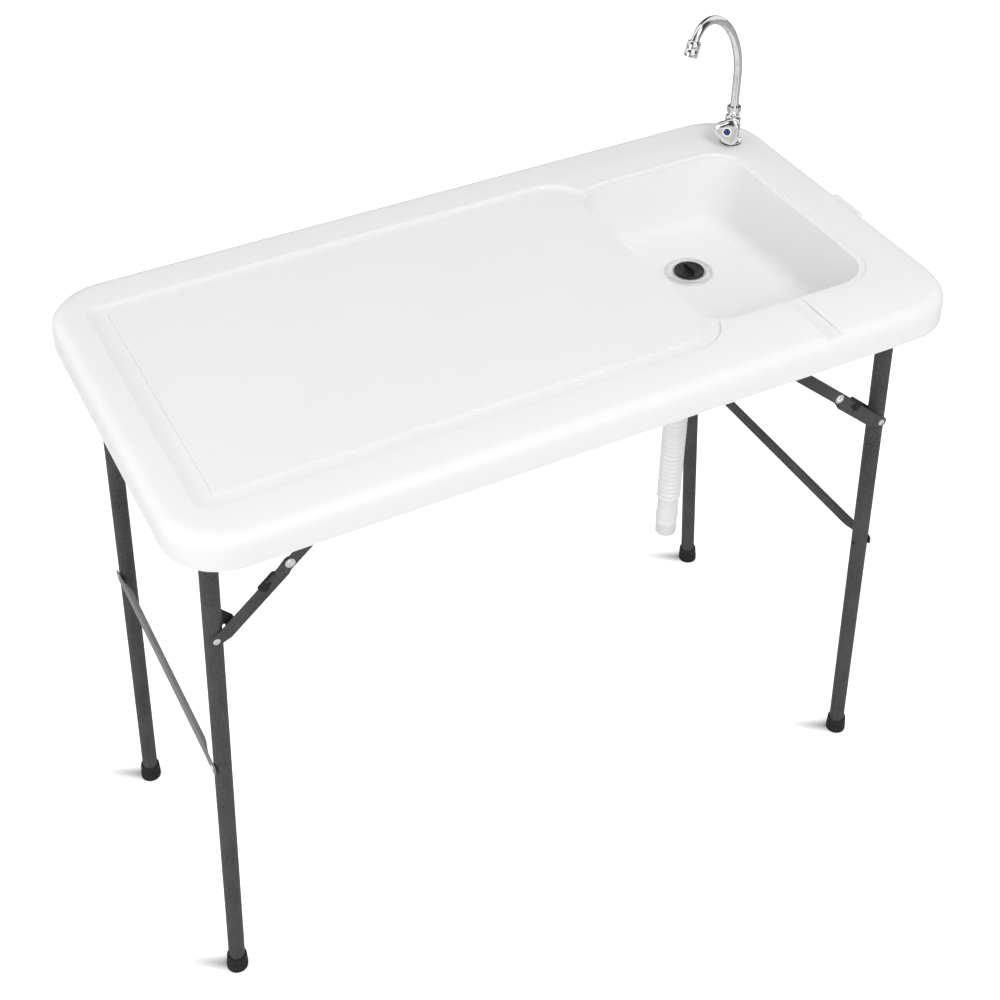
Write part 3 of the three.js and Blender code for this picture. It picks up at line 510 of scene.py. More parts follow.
def round_worktop_rims(piece, width):
    """Rounds the step of the panel, the gutter and the sink's rim, but nothing near the end grip."""
    rims = bmesh.new()
    rims.from_mesh(piece.data)
    weight = rims.edges.layers.float.new("bevel_weight_edge")
    for edge in rims.edges:
        ends = [vert.co for vert in edge.verts]
        high = min(end.z for end in ends) > RIMS_ABOVE and max(end.x for end in ends) < GRIP_FROM
        step = len(edge.link_faces) == 2 and edge.calc_face_angle(0) > math.radians(WORKTOP_SHARP)
        edge[weight] = 1.0 if high and step else 0.0
    rims.to_mesh(piece.data)
    rims.free()
    rounding = rounded(piece, "rim_rounding", width)
    rounding.limit_method = "WEIGHT"
    rounding.use_clamp_overlap = False


def lathe(profile, sides=64):
    """A bmesh turned about Z from (radius, height) pairs in millimetres."""
    work = bmesh.new()
    corners = [work.verts.new((radius * MM, 0, height * MM)) for radius, height in profile]
    edges = [work.edges.new(pair) for pair in zip(corners, corners[1:])]
    bmesh.ops.spin(
        work,
        geom=corners + edges,
        cent=(0, 0, 0),
        axis=(0, 0, 1),
        angle=2 * math.pi,
        steps=sides,
        use_merge=True,
    )
    bmesh.ops.remove_doubles(work, verts=work.verts, dist=CLOSE)
    return work


def raised(base, profile):
    """The (radius, height) pairs of a profile with its heights counted from a base."""
    return [(radius, base + height) for radius, height in profile]


def facing(direction, place):
    """Moves a shape turned about Z so that its top faces a direction."""
    return Matrix.Translation(place) @ Vector(direction).to_track_quat("Z", "Y").to_matrix().to_4x4()


def soften(work, edges, width, segments):
    """Rounds some edges of a bmesh by a width in millimetres."""
    shape = {"segments": segments, "profile": 0.5, "affect": "EDGES", "material": -1}
    bmesh.ops.bevel(work, geom=edges, offset=width * MM, **shape)


def evaluated_mesh(thing):
    """Mesh data of what an object's curve or modifiers make."""
    bpy.context.view_layer.update()
    shown = thing.evaluated_get(bpy.context.evaluated_depsgraph_get())
    return bpy.data.meshes.new_from_object(shown)


def carve(piece, work, name):
    """Cuts a piece with what a bmesh holds."""
    cutter = add_object(name, mesh_from(work, name))
    tool = piece.modifiers.new("carve", "BOOLEAN")
    tool.operation = "DIFFERENCE"
    tool.solver = "EXACT"
    tool.object = cutter
    result = evaluated_mesh(piece)
    piece.modifiers.clear()
    piece.data = result
    bpy.data.objects.remove(cutter)


# Drain hose; sizes from here to the crossbars are in millimetres

HOSE_X, HOSE_Y = 352.5, 63.5
HOSE_TOP, HOSE_END, CUFF_END = 792.7, 343.0, 300.7
ROOT, CREST, BORE = 17.7, 19.9, 16.6
RIBS = 42
RIB_SHARES = ((0, 0), (0.12, 0.12), (0.26, 0.72), (0.4, 1), (0.6, 1), (0.74, 0.72), (0.88, 0.12))
CUFF_WALL, CUFF_GAP = 1.1, 0.3
CUFF_RINGS = (12, 17)
HOSE_SIDES, HOSE_POINTS = 48, 24


def hose_profile():
    """Outer ribs down one side and the plain bore back up."""
    smooth_end = 2 * ROOT
    top, foot = HOSE_TOP - smooth_end, HOSE_END + smooth_end
    pitch = (top - foot) / RIBS
    profile = [(BORE, HOSE_TOP), (ROOT, HOSE_TOP)]
    for rib in range(RIBS):
        start = top - rib * pitch
        for share, rise in RIB_SHARES:
            profile.append((ROOT + (CREST - ROOT) * rise, start - share * pitch))
    return profile + [(ROOT, foot), (ROOT, HOSE_END), (BORE, HOSE_END), (BORE, HOSE_TOP)]


def cuff_profile():
    """A collar under the last rib, two thin rings and a plain end."""
    outer = BORE + CUFF_WALL
    profile = [(BORE, -CUFF_GAP), (outer + 0.8, -CUFF_GAP), (outer + 1.1, -0.8), (outer + 1.1, -4.6)]
    profile += [(outer + 0.7, -5.3), (outer, -6.3)]
    for ring in CUFF_RINGS:
        profile += [(outer, -ring), (outer + 0.5, -ring - 0.8), (outer, -ring - 1.6)]
    end = CUFF_END - HOSE_END
    profile += [(outer, end + 0.5), (outer - 0.4, end), (BORE + 0.2, end), (BORE, end + 0.3)]
    profile.append((BORE, -CUFF_GAP))
    return raised(HOSE_END, profile)


def make_hose():
    place = Matrix.Translation(at(HOSE_X, HOSE_Y, 0))
    kind = (HOSE_PLASTIC, "worktop", "hose_plastic")
    ribbed = lathe(hose_profile(), HOSE_SIDES)
    hose = piece_from(ribbed, "bellows_hose", *kind, ("drain_hose",), sharp=80, move=place)
    plain = lathe(cuff_profile(), HOSE_SIDES)
    cuff = piece_from(plain, "hose_end_cuff", *kind, ("hose_cuff",), sharp=50, move=place)


make_hose()


# Tap

TAP_X, TAP_Y = 514, 212
SPOUT_AIM, KNOB_AIM, KNOB_TILT = math.radians(201), math.radians(220), math.radians(10)
SPOUT_FOOT, RISER, ARCH_RISE = 971.5, 1048, 1143
ARCH_BOW, TIP = (99.5, 1207), (123, 1149)  # (reach from the tap's axis, height)
FOOT_HANDLE, RISER_HANDLE, TIP_HANDLE_SHARE = 10, 25, 0.2
SPOUT_RADIUS = 6.4
NOZZLE_RADIUS, NOZZLE_LENGTH = 10, 20
TAP_SEAT, SHANK_FOOT, SHANK_BORE, SHANK_RADIUS = 942.2, 894, 5.75, 9.5
VALVE_HEIGHT = 965
KNOB_START, KNOB_END, KNOB_SIDES = 18.1, 30.1, 96
LOBE_MEAN, LOBE_SWING = 19.6, 2.9
KNOB_RINGS = [(0.0, 0.8), (0.6, 0.93), (1.8, 1.0), (8.0, 1.0)]  # (depth, share of the reach)
KNOB_RINGS += [(10.2, 0.95), (11.4, 0.84), (12.0, 0.7), (12.0, 0.3)]
KNOB_FACE, BOSS_WITHIN = 12.0, 9.5 * MM


def spout_point(reach, height):
    return at(TAP_X + reach * math.cos(SPOUT_AIM), TAP_Y + reach * math.sin(SPOUT_AIM), height)


def make_neck():
    """The spout's tube, swept along a line that rises straight and then arches over."""
    data = bpy.data.curves.new("spout_line", "CURVE")
    data.dimensions = "3D"
    data.resolution_u = 40
    data.bevel_depth = SPOUT_RADIUS * MM
    data.bevel_resolution = 10
    data.use_fill_caps = True
    line = data.splines.new("BEZIER")
    line.bezier_points.add(2)
    foot, start, tip = line.bezier_points
    foot.co = spout_point(0, SPOUT_FOOT)
    foot.handle_left = spout_point(0, SPOUT_FOOT - FOOT_HANDLE)
    foot.handle_right = spout_point(0, SPOUT_FOOT + RISER_HANDLE)
    start.co = spout_point(0, RISER)
    start.handle_left = spout_point(0, RISER - RISER_HANDLE)
    start.handle_right = spout_point(0, ARCH_RISE)
    tip.co, tip.handle_left = spout_point(*TIP), spout_point(*ARCH_BOW)
    tip.handle_right = tip.co + (tip.co - tip.handle_left) * TIP_HANDLE_SHARE
    maker = add_object("spout_line", data)
    neck = evaluated_mesh(maker)
    bpy.data.objects.remove(maker)
    settle(neck, "spout_swan_neck", CHROME, "spout", ("spout_tube",), sharp=60)


def make_nozzle():
    """The grooved sleeve on the spout's tip, with a black grille in its mouth."""
    tip_place = spout_point(*TIP)
    move = facing((tip_place - spout_point(*ARCH_BOW)).normalized(), tip_place)
    wide, end = NOZZLE_RADIUS, NOZZLE_LENGTH
    shell = [(7.35, -3), (wide - 1.1, -3), (wide - 0.4, -2.2), (wide, -1.2), (wide, 7.2), (wide - 0.3, 7.8)]
    shell += [(wide - 0.9, 8), (wide - 0.9, 9), (wide - 0.3, 9.2), (wide, 9.8), (wide, end - 1)]
    shell += [(wide - 0.4, end - 0.2), (wide - 1.1, end), (wide - 1.7, end), (wide - 1.9, end - 0.4)]
    shell += [(wide - 2.1, end - 1.6), (0, end - 1.6)]
    kind, replaced = (CHROME, "spout", "chrome_trim"), ("spout_nozzle",)
    piece_from(lathe(shell), "spout_nozzle_shell", *kind, replaced, sharp=40, move=move)
    disc = lathe([(0, end - 1.8), (wide - 2.2, end - 1.8), (wide - 2.2, end - 2.6), (0, end - 2.6)], 32)
    piece_from(disc, "spout_grille", BLACK_PLASTIC, "spout", "black_plastic", sharp=40, move=move)


def knob_axis():
    level = math.cos(KNOB_TILT)
    return Vector((math.cos(KNOB_AIM) * level, math.sin(KNOB_AIM) * level, math.sin(KNOB_TILT)))


def make_tap_body():
    """The column with its base and threaded shank, and the short arm that the bonnet is screwed on."""
    shank = [(SHANK_BORE, SHANK_FOOT), (SHANK_RADIUS - 0.3, SHANK_FOOT), (SHANK_RADIUS, SHANK_FOOT + 0.4)]
    shank += [(SHANK_RADIUS, TAP_SEAT)]
    base = [(16.6, 0), (17, 0.4), (17, 1.8), (16.2, 2.6), (14.2, 4), (12.8, 5.8), (12.1, 8), (12, 12)]
    column = [(12, 38), (11.7, 40.2), (10.8, 42), (9.6, 43), (8.8, 43.4), (8.8, 48.4), (8.4, 49), (7.05, 49)]
    socket = [(7.05, SPOUT_FOOT - 0.3), (SHANK_BORE, SPOUT_FOOT - 0.3), (SHANK_BORE, SHANK_FOOT)]
    work = lathe(shank + raised(TAP_SEAT, base + column) + socket)
    bmesh.ops.recalc_face_normals(work, faces=work.faces)
    arm = lathe([(4, 9), (8.3, 9), (8.3, 11), (8.5, 11.6), (8.5, 13.4), (7.9, 14), (4, 14), (4, 9)])
    bmesh.ops.recalc_face_normals(arm, faces=arm.faces)
    turned = facing(knob_axis(), Vector((0, 0, VALVE_HEIGHT * MM)))
    bmesh.ops.transform(arm, matrix=turned, verts=arm.verts)
    add_to(work, arm, "arm")
    place = Matrix.Translation(at(TAP_X, TAP_Y, 0))
    piece_from(work, "tap_column", CHROME, "worktop", "chrome_trim", ("tap_body",), sharp=40, move=place)


def knob_lobes():
    """A closed bmesh of three soft lobes about Z, made of rings of (depth, share of the reach)."""
    work = bmesh.new()
    for depth, share in KNOB_RINGS:
        made = bmesh.ops.create_circle(work, cap_ends=False, segments=KNOB_SIDES, radius=1)
        height = Vector((0, 0, (KNOB_START + depth) * MM))
        for vert in made["verts"]:
            turn = math.atan2(vert.co.y, vert.co.x)
            reach = LOBE_MEAN - LOBE_SWING * math.cos(3 * turn)
            vert.co = Vector((math.cos(turn), math.sin(turn), 0)) * reach * share * MM + height
    rims = list(work.edges)

    def rim_at(depth):
        return [rim for rim in rims if abs(rim.verts[0].co.z - (KNOB_START + depth) * MM) < CLOSE / 10]

    def boss_edge(rim):
        return rim.verts[0].co.xy.length < BOSS_WITHIN

    for (first, _), (second, _) in zip(KNOB_RINGS, KNOB_RINGS[1:]):
        if first == second:
            continue
        upper = [rim for rim in rim_at(second) if second != KNOB_FACE or not boss_edge(rim)]
        bmesh.ops.bridge_loops(work, edges=rim_at(first) + upper)
    face_rims = rim_at(KNOB_FACE)
    bmesh.ops.bridge_loops(work, edges=face_rims)
    bmesh.ops.contextual_create(work, geom=[rim for rim in face_rims if boss_edge(rim)])
    bmesh.ops.contextual_create(work, geom=rim_at(0.0))
    return work


def make_knob():
    """Three soft lobes with an enamelled ring and a blue index in the middle."""
    move = facing(knob_axis(), at(TAP_X, TAP_Y, VALVE_HEIGHT))
    lobes = knob_lobes()
    piece_from(lobes, "tap_knob_lobes", CHROME, "knob", "chrome_trim", ("tap_knob",), sharp=40, move=move)
    band = [(5.3, 0), (7.7, 0), (7.7, 0.3), (7.3, 0.6), (5.6, 0.6), (5.3, 0.3), (5.3, 0)]
    ring = lathe(raised(KNOB_END, band), 48)
    piece_from(ring, "index_ring", WHITE_ENAMEL, "knob", "chrome_trim", sharp=40, move=move)
    dome = [(0, -1), (4.5, -1), (4.5, 0), (5.2, 0), (5.2, 0.4), (4.4, 0.9), (2.6, 1.2), (0, 1.3)]
    dot = lathe(raised(KNOB_END, dome), 48)
    piece_from(dot, "index_dot", BLUE_ENAMEL, "knob", "blue_plastic", ("knob_index",), sharp=50, move=move)


make_neck()
make_nozzle()
make_tap_body()
make_knob()


# Drain in the sink

DRAIN_SEAT, DRAIN_FOOT, DRAIN_BORE = 832.3, 798.3, 19
FLANGE_RISE, PLUG_DROP = 2.2, 0.9
FIN_LENGTH, FIN_WALL, FIN_HEIGHT, FIN_LIFT = 25, 3, 9, 6.7
FIN_TURN = math.radians(96)
FIN_FALL = 2.7  # how far the fin's ends lie below its middle


def make_fin():
    """The plug's grip: a rounded bar whose top falls to both ends."""
    fin = bmesh.new()
    bmesh.ops.create_cube(fin, size=1)
    bmesh.ops.scale(fin, vec=(FIN_LENGTH * MM, FIN_WALL * MM, FIN_HEIGHT * MM), verts=fin.verts)
    long_edges = [e for e in fin.edges if abs(e.verts[0].co.x - e.verts[1].co.x) > CLOSE]
    bmesh.ops.subdivide_edges(fin, edges=long_edges, cuts=8, use_grid_fill=True)
    for vert in fin.verts:
        if vert.co.z > 0:
            vert.co.z -= FIN_FALL * MM * (vert.co.x / (FIN_LENGTH / 2 * MM)) ** 2
    soften(fin, [e for e in fin.edges if e.calc_face_angle(0) > 1], width=0.8, segments=3)
    return fin


def make_drain():
    rim = DRAIN_SEAT + FLANGE_RISE
    flange = [(DRAIN_BORE, DRAIN_FOOT), (22.5, DRAIN_FOOT), (22.5, DRAIN_SEAT)]
    flange += raised(DRAIN_SEAT, [(36.6, 0), (37, 0.4), (37, 0.9)])
    lip = [(36.4, -0.2), (35.4, 0), (30.6, 0), (30, -0.5), (29.2, -0.5), (28.6, 0), (25.4, 0)]
    lip += [(24.8, -0.3), (23.8, -1.2), (DRAIN_BORE, -1.2)]
    flange += raised(rim, lip) + [(DRAIN_BORE, DRAIN_FOOT)]
    place = Matrix.Translation(at(HOSE_X, HOSE_Y, 0))
    kind, replaced = (SATIN_STEEL, "worktop", "bare_metal"), ("drain_flange",)
    piece_from(lathe(flange, 72), "drain_flange_ring", *kind, replaced, sharp=40, move=place)
    foot = rim - PLUG_DROP
    plug = [(0, -12), (16.5, -12), (17.5, 0), (22.4, 0), (23, 0.5), (23, 2.4), (22.5, 3), (21.6, 3.2)]
    plug += [(20, 3.2), (19.3, 2.8), (12, 2.9), (6, 3.2), (0, 3.2)]
    work = lathe(raised(foot, plug), 64)
    bmesh.ops.recalc_face_normals(work, faces=work.faces)
    fin = make_fin()
    turned = Matrix.Translation((0, 0, (foot + FIN_LIFT) * MM)) @ Matrix.Rotation(FIN_TURN, 4, "Z")
    bmesh.ops.transform(fin, matrix=turned, verts=fin.verts)
    add_to(work, fin, "fin")
    replaced = ("drain_stopper",)
    piece_from(work, "drain_plug", BLACK_PLASTIC, "stopper", "black_plastic", replaced, sharp=40, move=place)


make_drain()


# Solids of the CAD that are shown as they are, with a finish and small rounded edges


def dress_solids():
    worktop = dressed("tabletop", WHITE_PLASTIC, sharp=WORKTOP_SHARP)
    round_worktop_rims(worktop, RIM_ROUNDING)
    fixed = (
        (("drain_locknut", "hose_spigot"), WHITE_PLASTIC, 0.4),
        (("drain_gasket", "tap_gasket"), BLACK_RUBBER, 0.3),
        (("tap_locknut", "inlet_adaptor", "hose_clamp", "valve_spindle"), ZINC, 0.2),
        (("valve_bonnet", "spout_nut"), CHROME, 0.6),
    )
    for nodes, material, edge in fixed:
        for node in nodes:
            dressed(node, material, edge * MM)
    at_each_corner = (
        ("leg", GREY_COAT, 0.0),
        ("foot", BLACK_RUBBER, 0.5),
        ("leg_rivet", ZINC, 0.3),
        ("pivot_bracket", GREY_COAT, 0.3),
        ("pivot_pin", ZINC, 0.3),
        ("brace_bracket", GREY_COAT, 0.3),
        ("catch", BLACK_PLASTIC, 0.2),
    )
    for end in ("left", "right"):
        for side in ("front", "back"):
            for node, material, edge in at_each_corner:
                dressed(end + "_" + side + "_" + node, material, edge * MM)


dress_solids()


# Legs and braces

SPLAY = math.radians(3.8)
SIDES = (("front", -1), ("back", 1))
LegSet = namedtuple("LegSet", "end pivot_x pivot_z leg_y bar_z rivet_z lap inward")
LEG_SETS = (
    LegSet("left", -511, 911, 210.3, 465.5, 714, 16, 1),
    LegSet("right", 480, 882, 244.3, 463, 718, 14, -1),
)
Brace = namedtuple("Brace", "rivet middle anchor slope along")


def brace_of(legs):
    """Places of the brace's lower rivet, middle bolt and anchor, its slope and its direction."""
    drop = legs.pivot_z - legs.rivet_z
    anchor = drop / math.cos(SPLAY) + legs.lap
    rivet = -drop * math.tan(SPLAY)
    slope = math.atan2(drop, anchor - rivet)
    lower = (math.hypot(anchor - rivet, drop) - legs.lap) / 2
    middle = rivet + lower * math.cos(slope)
    return Brace(
        (legs.pivot_x + legs.inward * rivet, legs.rivet_z),
        (legs.pivot_x + legs.inward * middle, legs.rivet_z + lower * math.sin(slope)),
        (legs.pivot_x + legs.inward * anchor, legs.pivot_z),
        slope,
        Vector((legs.inward * math.cos(slope), 0, math.sin(slope))),
    )


def bar_centre(legs, y):
    """The point on the leg's axis, or between the legs, at the height of the crossbar."""
    down = (legs.pivot_z - legs.bar_z) / math.cos(SPLAY)
    return at(legs.pivot_x - legs.inward * down * math.sin(SPLAY), y, legs.pivot_z - down * math.cos(SPLAY))


LOWER_FORK, LOWER_FACE = 31, 12.85
UPPER_FORK, UPPER_FACE = 25, 15.65
CUT_LENGTH, CUT_INWARD, CUT_HEIGHT = 220, 20, 60


def make_links():
    """Brace links: past the fork at the leg or the anchor, only the outer side goes on."""
    for legs in LEG_SETS:
        brace = brace_of(legs)
        ends = (
            ("lower", brace.rivet, brace.along, LOWER_FORK, LOWER_FACE),
            ("upper", brace.anchor, -brace.along, UPPER_FORK, UPPER_FACE),
        )
        lean = Matrix.Rotation(-legs.inward * brace.slope, 3, "Y")
        for side, sign in SIDES:
            for name, (x, z), towards, fork, face in ends:
                piece = dressed(legs.end + "_" + side + "_" + name + "_link", GREY_COAT)
                box = bmesh.new()
                bmesh.ops.create_cube(box, size=1)
                size = (CUT_LENGTH * MM, (face + CUT_INWARD) * MM, CUT_HEIGHT * MM)
                bmesh.ops.scale(box, vec=size, verts=box.verts)
                bmesh.ops.rotate(box, cent=(0, 0, 0), matrix=lean, verts=box.verts)
                y = sign * (legs.leg_y + (face - CUT_INWARD) / 2)
                centre = at(x, y, z) + towards * (fork + CUT_LENGTH / 2) * MM
                bmesh.ops.translate(box, vec=centre, verts=box.verts)
                carve(piece, box, "fork")


# Small fasteners

BOLT_RADIUS, BOLT_HEIGHT, BOLT_REACH = 6.9, 2.2, 16.8
RIVET_END_RADIUS, RIVET_END_HEIGHT, RIVET_END_REACH = 5.0, 0.22, 12.8
ANCHOR_RADIUS, ANCHOR_HEIGHT, ANCHOR_REACH = 5.2, 1.2, 18.6
BAR_RIVET_RADIUS, BAR_RIVET_HEIGHT, BAR_RIVET_REACH = 5.0, 1.7, 14.9
LUG_BACK, STOP_BACK, LUG_REACH, LUG_WALL = 40, 9, 14.3, 1.0
LUG_SIZE, STOP_SIZE = (7, 5), (3.4, 3)
SCREW_RADIUS, SCREW_HEIGHT = 4.2, 1.6
PIVOT_FLANGE, BRACE_FLANGE = (21.1, 928.2), (24.6, 928.7)  # screw's distance from the leg row, height
WASHER, WASHER_STEP = 0.5, 0.7
CROSS_TURN = math.radians(20)


def cross_head(name, radius, height, body, place, out):
    """A pan head with a cross recess and a washer under it."""
    head = [(0, 0), (radius, 0), (radius, WASHER), (radius * 0.94, WASHER_STEP), (radius * 0.8, WASHER_STEP)]
    head += [(radius * 0.79, height * 0.6), (radius * 0.68, height * 0.88), (radius * 0.4, height)]
    head.append((0, height))
    piece = piece_from(lathe(head, 48), name, ZINC, body, "bare_metal", sharp=40)
    arm, half = radius * 0.5 * MM, radius * 0.16 * MM
    outline = [(arm, -half), (arm, half), (half, half), (half, arm), (-half, arm), (-half, half)]
    outline += [(-arm, half), (-arm, -half), (-half, -half), (-half, -arm), (half, -arm), (half, -half)]
    cross = bmesh.new()
    floor = cross.faces.new([cross.verts.new((x, y, height * 0.45 * MM)) for x, y in outline])
    grown = bmesh.ops.extrude_face_region(cross, geom=[floor])["geom"]
    upper = [part for part in grown if isinstance(part, bmesh.types.BMVert)]
    bmesh.ops.translate(cross, vec=(0, 0, height * MM), verts=upper)
    bmesh.ops.recalc_face_normals(cross, faces=cross.faces)
    bmesh.ops.rotate(cross, cent=(0, 0, 0), matrix=Matrix.Rotation(CROSS_TURN, 3, "Z"), verts=cross.verts)
    carve(piece, cross, "cross")
    piece.data.transform(facing(out, place))


def dome_head(name, radius, height, body, place, out):
    head = [(0, -1), (radius * 0.5, -1), (radius * 0.5, 0), (radius, 0), (radius, height * 0.25)]
    head += [(radius * 0.86, height * 0.62), (radius * 0.55, height * 0.92), (0, height)]
    piece_from(lathe(head, 32), name, ZINC, body, "bare_metal", sharp=40, move=facing(out, place))


def catch_lug(name, body, centre, lean, size):
    """The black tongue or stop of the catch where it comes through the link's side."""
    length, width = size
    work = bmesh.new()
    bmesh.ops.create_cube(work, size=1)
    bmesh.ops.scale(work, vec=(length * MM, LUG_WALL * MM, width * MM), verts=work.verts)
    soften(work, list(work.edges), width=0.25, segments=2)
    bmesh.ops.transform(work, matrix=Matrix.Translation(centre) @ lean, verts=work.verts)
    piece_from(work, name, BLACK_PLASTIC, body, "black_plastic", sharp=40)


def brace_fasteners(legs, brace, corner, y, sign):
    """The middle bolt with its rivet end, and the two heads of the anchor rivet."""
    out = Vector((0, sign, 0))
    links = legs.end + "_upper_links"
    x, z = brace.middle
    bolt = at(x, y + sign * BOLT_REACH, z)
    cross_head(corner + "_middle_bolt", BOLT_RADIUS, BOLT_HEIGHT, links, bolt, out)
    inner = at(x, y + sign * RIVET_END_REACH, z)
    dome_head(corner + "_middle_rivet_end", RIVET_END_RADIUS, RIVET_END_HEIGHT, links, inner, -out)
    x, z = brace.anchor
    for lean in (-1, 1):
        name = corner + "_anchor_rivet_" + ("outer" if lean == sign else "inner")
        head = at(x, y + lean * ANCHOR_REACH, z)
        dome_head(name, ANCHOR_RADIUS, ANCHOR_HEIGHT, "worktop", head, Vector((0, lean, 0)))


def bar_rivet(legs, corner, y):
    outward = Vector((-legs.inward * math.cos(SPLAY), 0, math.sin(SPLAY)))
    head = bar_centre(legs, y) + outward * BAR_RIVET_REACH * MM
    dome_head(corner + "_bar_rivet", BAR_RIVET_RADIUS, BAR_RIVET_HEIGHT, legs.end + "_legs", head, outward)


def catch_lugs(legs, brace, corner, y, sign):
    links = legs.end + "_lower_links"
    x, z = brace.middle
    tongue = at(x, 0, z) - brace.along * LUG_BACK * MM
    tongue.y = (y + sign * LUG_REACH) * MM
    stop = tongue - brace.along * STOP_BACK * MM
    lean = Matrix.Rotation(-brace.slope if legs.inward > 0 else brace.slope - math.pi, 4, "Y")
    catch_lug(corner + "_catch_lug", links, tongue, lean, LUG_SIZE)
    catch_lug(corner + "_catch_stop", links, stop, lean, STOP_SIZE)


def bracket_screws(legs, brace, corner, y):
    rows = (("_pivot", legs.pivot_x, PIVOT_FLANGE), ("_brace", brace.anchor[0], BRACE_FLANGE))
    for bracket, x, (reach, height) in rows:
        for letter, lean in (("a", -1), ("b", 1)):
            name = corner + bracket + "_screw_" + letter
            head = at(x, y + lean * reach, height)
            cross_head(name, SCREW_RADIUS, SCREW_HEIGHT, "worktop", head, Vector((0, 0, -1)))


def make_fasteners():
    for legs in LEG_SETS:
        brace = brace_of(legs)
        for side, sign in SIDES:
            corner = legs.end + "_" + side
            y = sign * legs.leg_y
            brace_fasteners(legs, brace, corner, y, sign)
            bar_rivet(legs, corner, y)
            catch_lugs(legs, brace, corner, y, sign)
            bracket_screws(legs, brace, corner, y)


# Crossbars

BAR_SIDES, BAR_TALL, BAR_DEEP = 28, 9.4, 4.2
PLATE_TALL, PLATE_DEEP = 9.0, 1.0
BAR_FACE = 13.8  # how far the pressed end's middle lies from the leg's axis
BAR_OVER = 9  # how far the bar reaches past the leg's axis


def bar_stations(leg_y):
    """(distance from the middle, how round the bar is, share of its height), from tip to tip."""
    tip = leg_y + BAR_OVER
    half = [(tip, 0.0, 0.55), (tip - 1, 0.0, 0.78), (tip - 3, 0.0, 0.93), (tip - 6, 0.0, 1.0)]
    half += [(leg_y - 16, 0.0, 1.0), (leg_y - 24, 0.12, 1.0), (leg_y - 34, 0.5, 1.0)]
    half += [(leg_y - 44, 0.88, 1.0), (leg_y - 54, 1.0, 1.0)]
    return [(-y, fullness, share) for y, fullness, share in half] + half[::-1]


def soft_square(value, power):
    return math.copysign(abs(value) ** power, value)


def make_crossbars():
    """Oval bars pressed flat at both ends, where they are riveted to the legs."""
    for legs in LEG_SETS:
        work = bmesh.new()
        loops = []
        for y, fullness, share in bar_stations(legs.leg_y):
            tall = (PLATE_TALL + (BAR_TALL - PLATE_TALL) * fullness) * share
            deep = PLATE_DEEP + (BAR_DEEP - PLATE_DEEP) * fullness
            centre = BAR_FACE - (BAR_DEEP - PLATE_DEEP) * fullness
            power = 0.34 + 0.06 * fullness
            loop = []
            for side in range(BAR_SIDES):
                angle = 2 * math.pi * side / BAR_SIDES
                depth = soft_square(math.cos(angle), power) * deep + centre
                rise = soft_square(math.sin(angle), power) * tall
                loop.append(work.verts.new((-legs.inward * depth * MM, y * MM, rise * MM)))
            loops.append(loop)
        for first, second in zip(loops, loops[1:]):
            for side in range(BAR_SIDES):
                after = (side + 1) % BAR_SIDES
                work.faces.new((first[side], first[after], second[after], second[side]))
        work.faces.new(loops[0])
        work.faces.new(loops[-1])
        place = Matrix.Translation(bar_centre(legs, 0)) @ Matrix.Rotation(legs.inward * SPLAY, 4, "Y")
        coat = PALE_COAT if legs.end == "left" else GREY_COAT
        name, body, replaced = legs.end + "_crossbar_tube", legs.end + "_legs", (legs.end + "_crossbar",)
        piece_from(work, name, coat, body, "grey_coat", replaced, move=place)


make_links()
make_fasteners()
make_crossbars()


# Ground, background and light, in metres

GROUND_HALF, GROUND_DEPTH = 14, 0.0006
GROUND_TONE, GROUND_TONE_IN_CHROME, GROUND_GLOW = 0.8, 0.5, 0.62
# Painted shadow streaks on the ground beside the feet: length, start, width, turn, fade and darkness
STREAK_LENGTH, STREAK_START, STREAK_WIDTH = 0.135, -0.02, 0.0135
STREAK_TURN, STREAK_FADE, STREAK_SHADE = math.radians(4), 1.4, 0.85
ROOM_LIGHT, STRIPES, STRIPE_START = 0.66, 3.0, 0.9
STRIPE_DARK, STRIPE_BRIGHT = 0.08, 1.15


def contact_shadow():
    """How dark the ground's painted shadow beside a foot is: a soft streak that fades to the viewer's left.
    """
    inputs, outputs = [("Foot", "NodeSocketVector", (0, 0, 0))], [("Shade", NUMBER)]
    tree, given, result = group_of("contact_shadow", inputs, outputs)
    offset = tree.nodes.new("ShaderNodeVectorMath")
    offset.operation = "SUBTRACT"
    tree.links.new(object_place(tree), offset.inputs[0])
    tree.links.new(given.outputs["Foot"], offset.inputs[1])
    turned = tree.nodes.new("ShaderNodeMapping")
    turned.inputs["Rotation"].default_value = (0, 0, math.pi - AZIMUTH + STREAK_TURN)
    tree.links.new(offset.outputs[0], turned.inputs["Vector"])
    split = tree.nodes.new("ShaderNodeSeparateXYZ")
    tree.links.new(turned.outputs["Vector"], split.inputs[0])
    fade = remap(tree, split.outputs["X"], 0.0, STREAK_LENGTH, 1.0, 0.0)
    start = remap(tree, split.outputs["X"], STREAK_START, 0.0, 0.0, 1.0)
    across = math_node(tree, "DIVIDE", split.outputs["Y"], STREAK_WIDTH)
    square = math_node(tree, "MULTIPLY", across, across)
    bell = math_node(tree, "EXPONENT", math_node(tree, "MULTIPLY", square, -1.0))
    along = math_node(tree, "MULTIPLY", math_node(tree, "POWER", fade, STREAK_FADE), start)
    tree.links.new(math_node(tree, "MULTIPLY", along, bell), result.inputs["Shade"])
    return tree


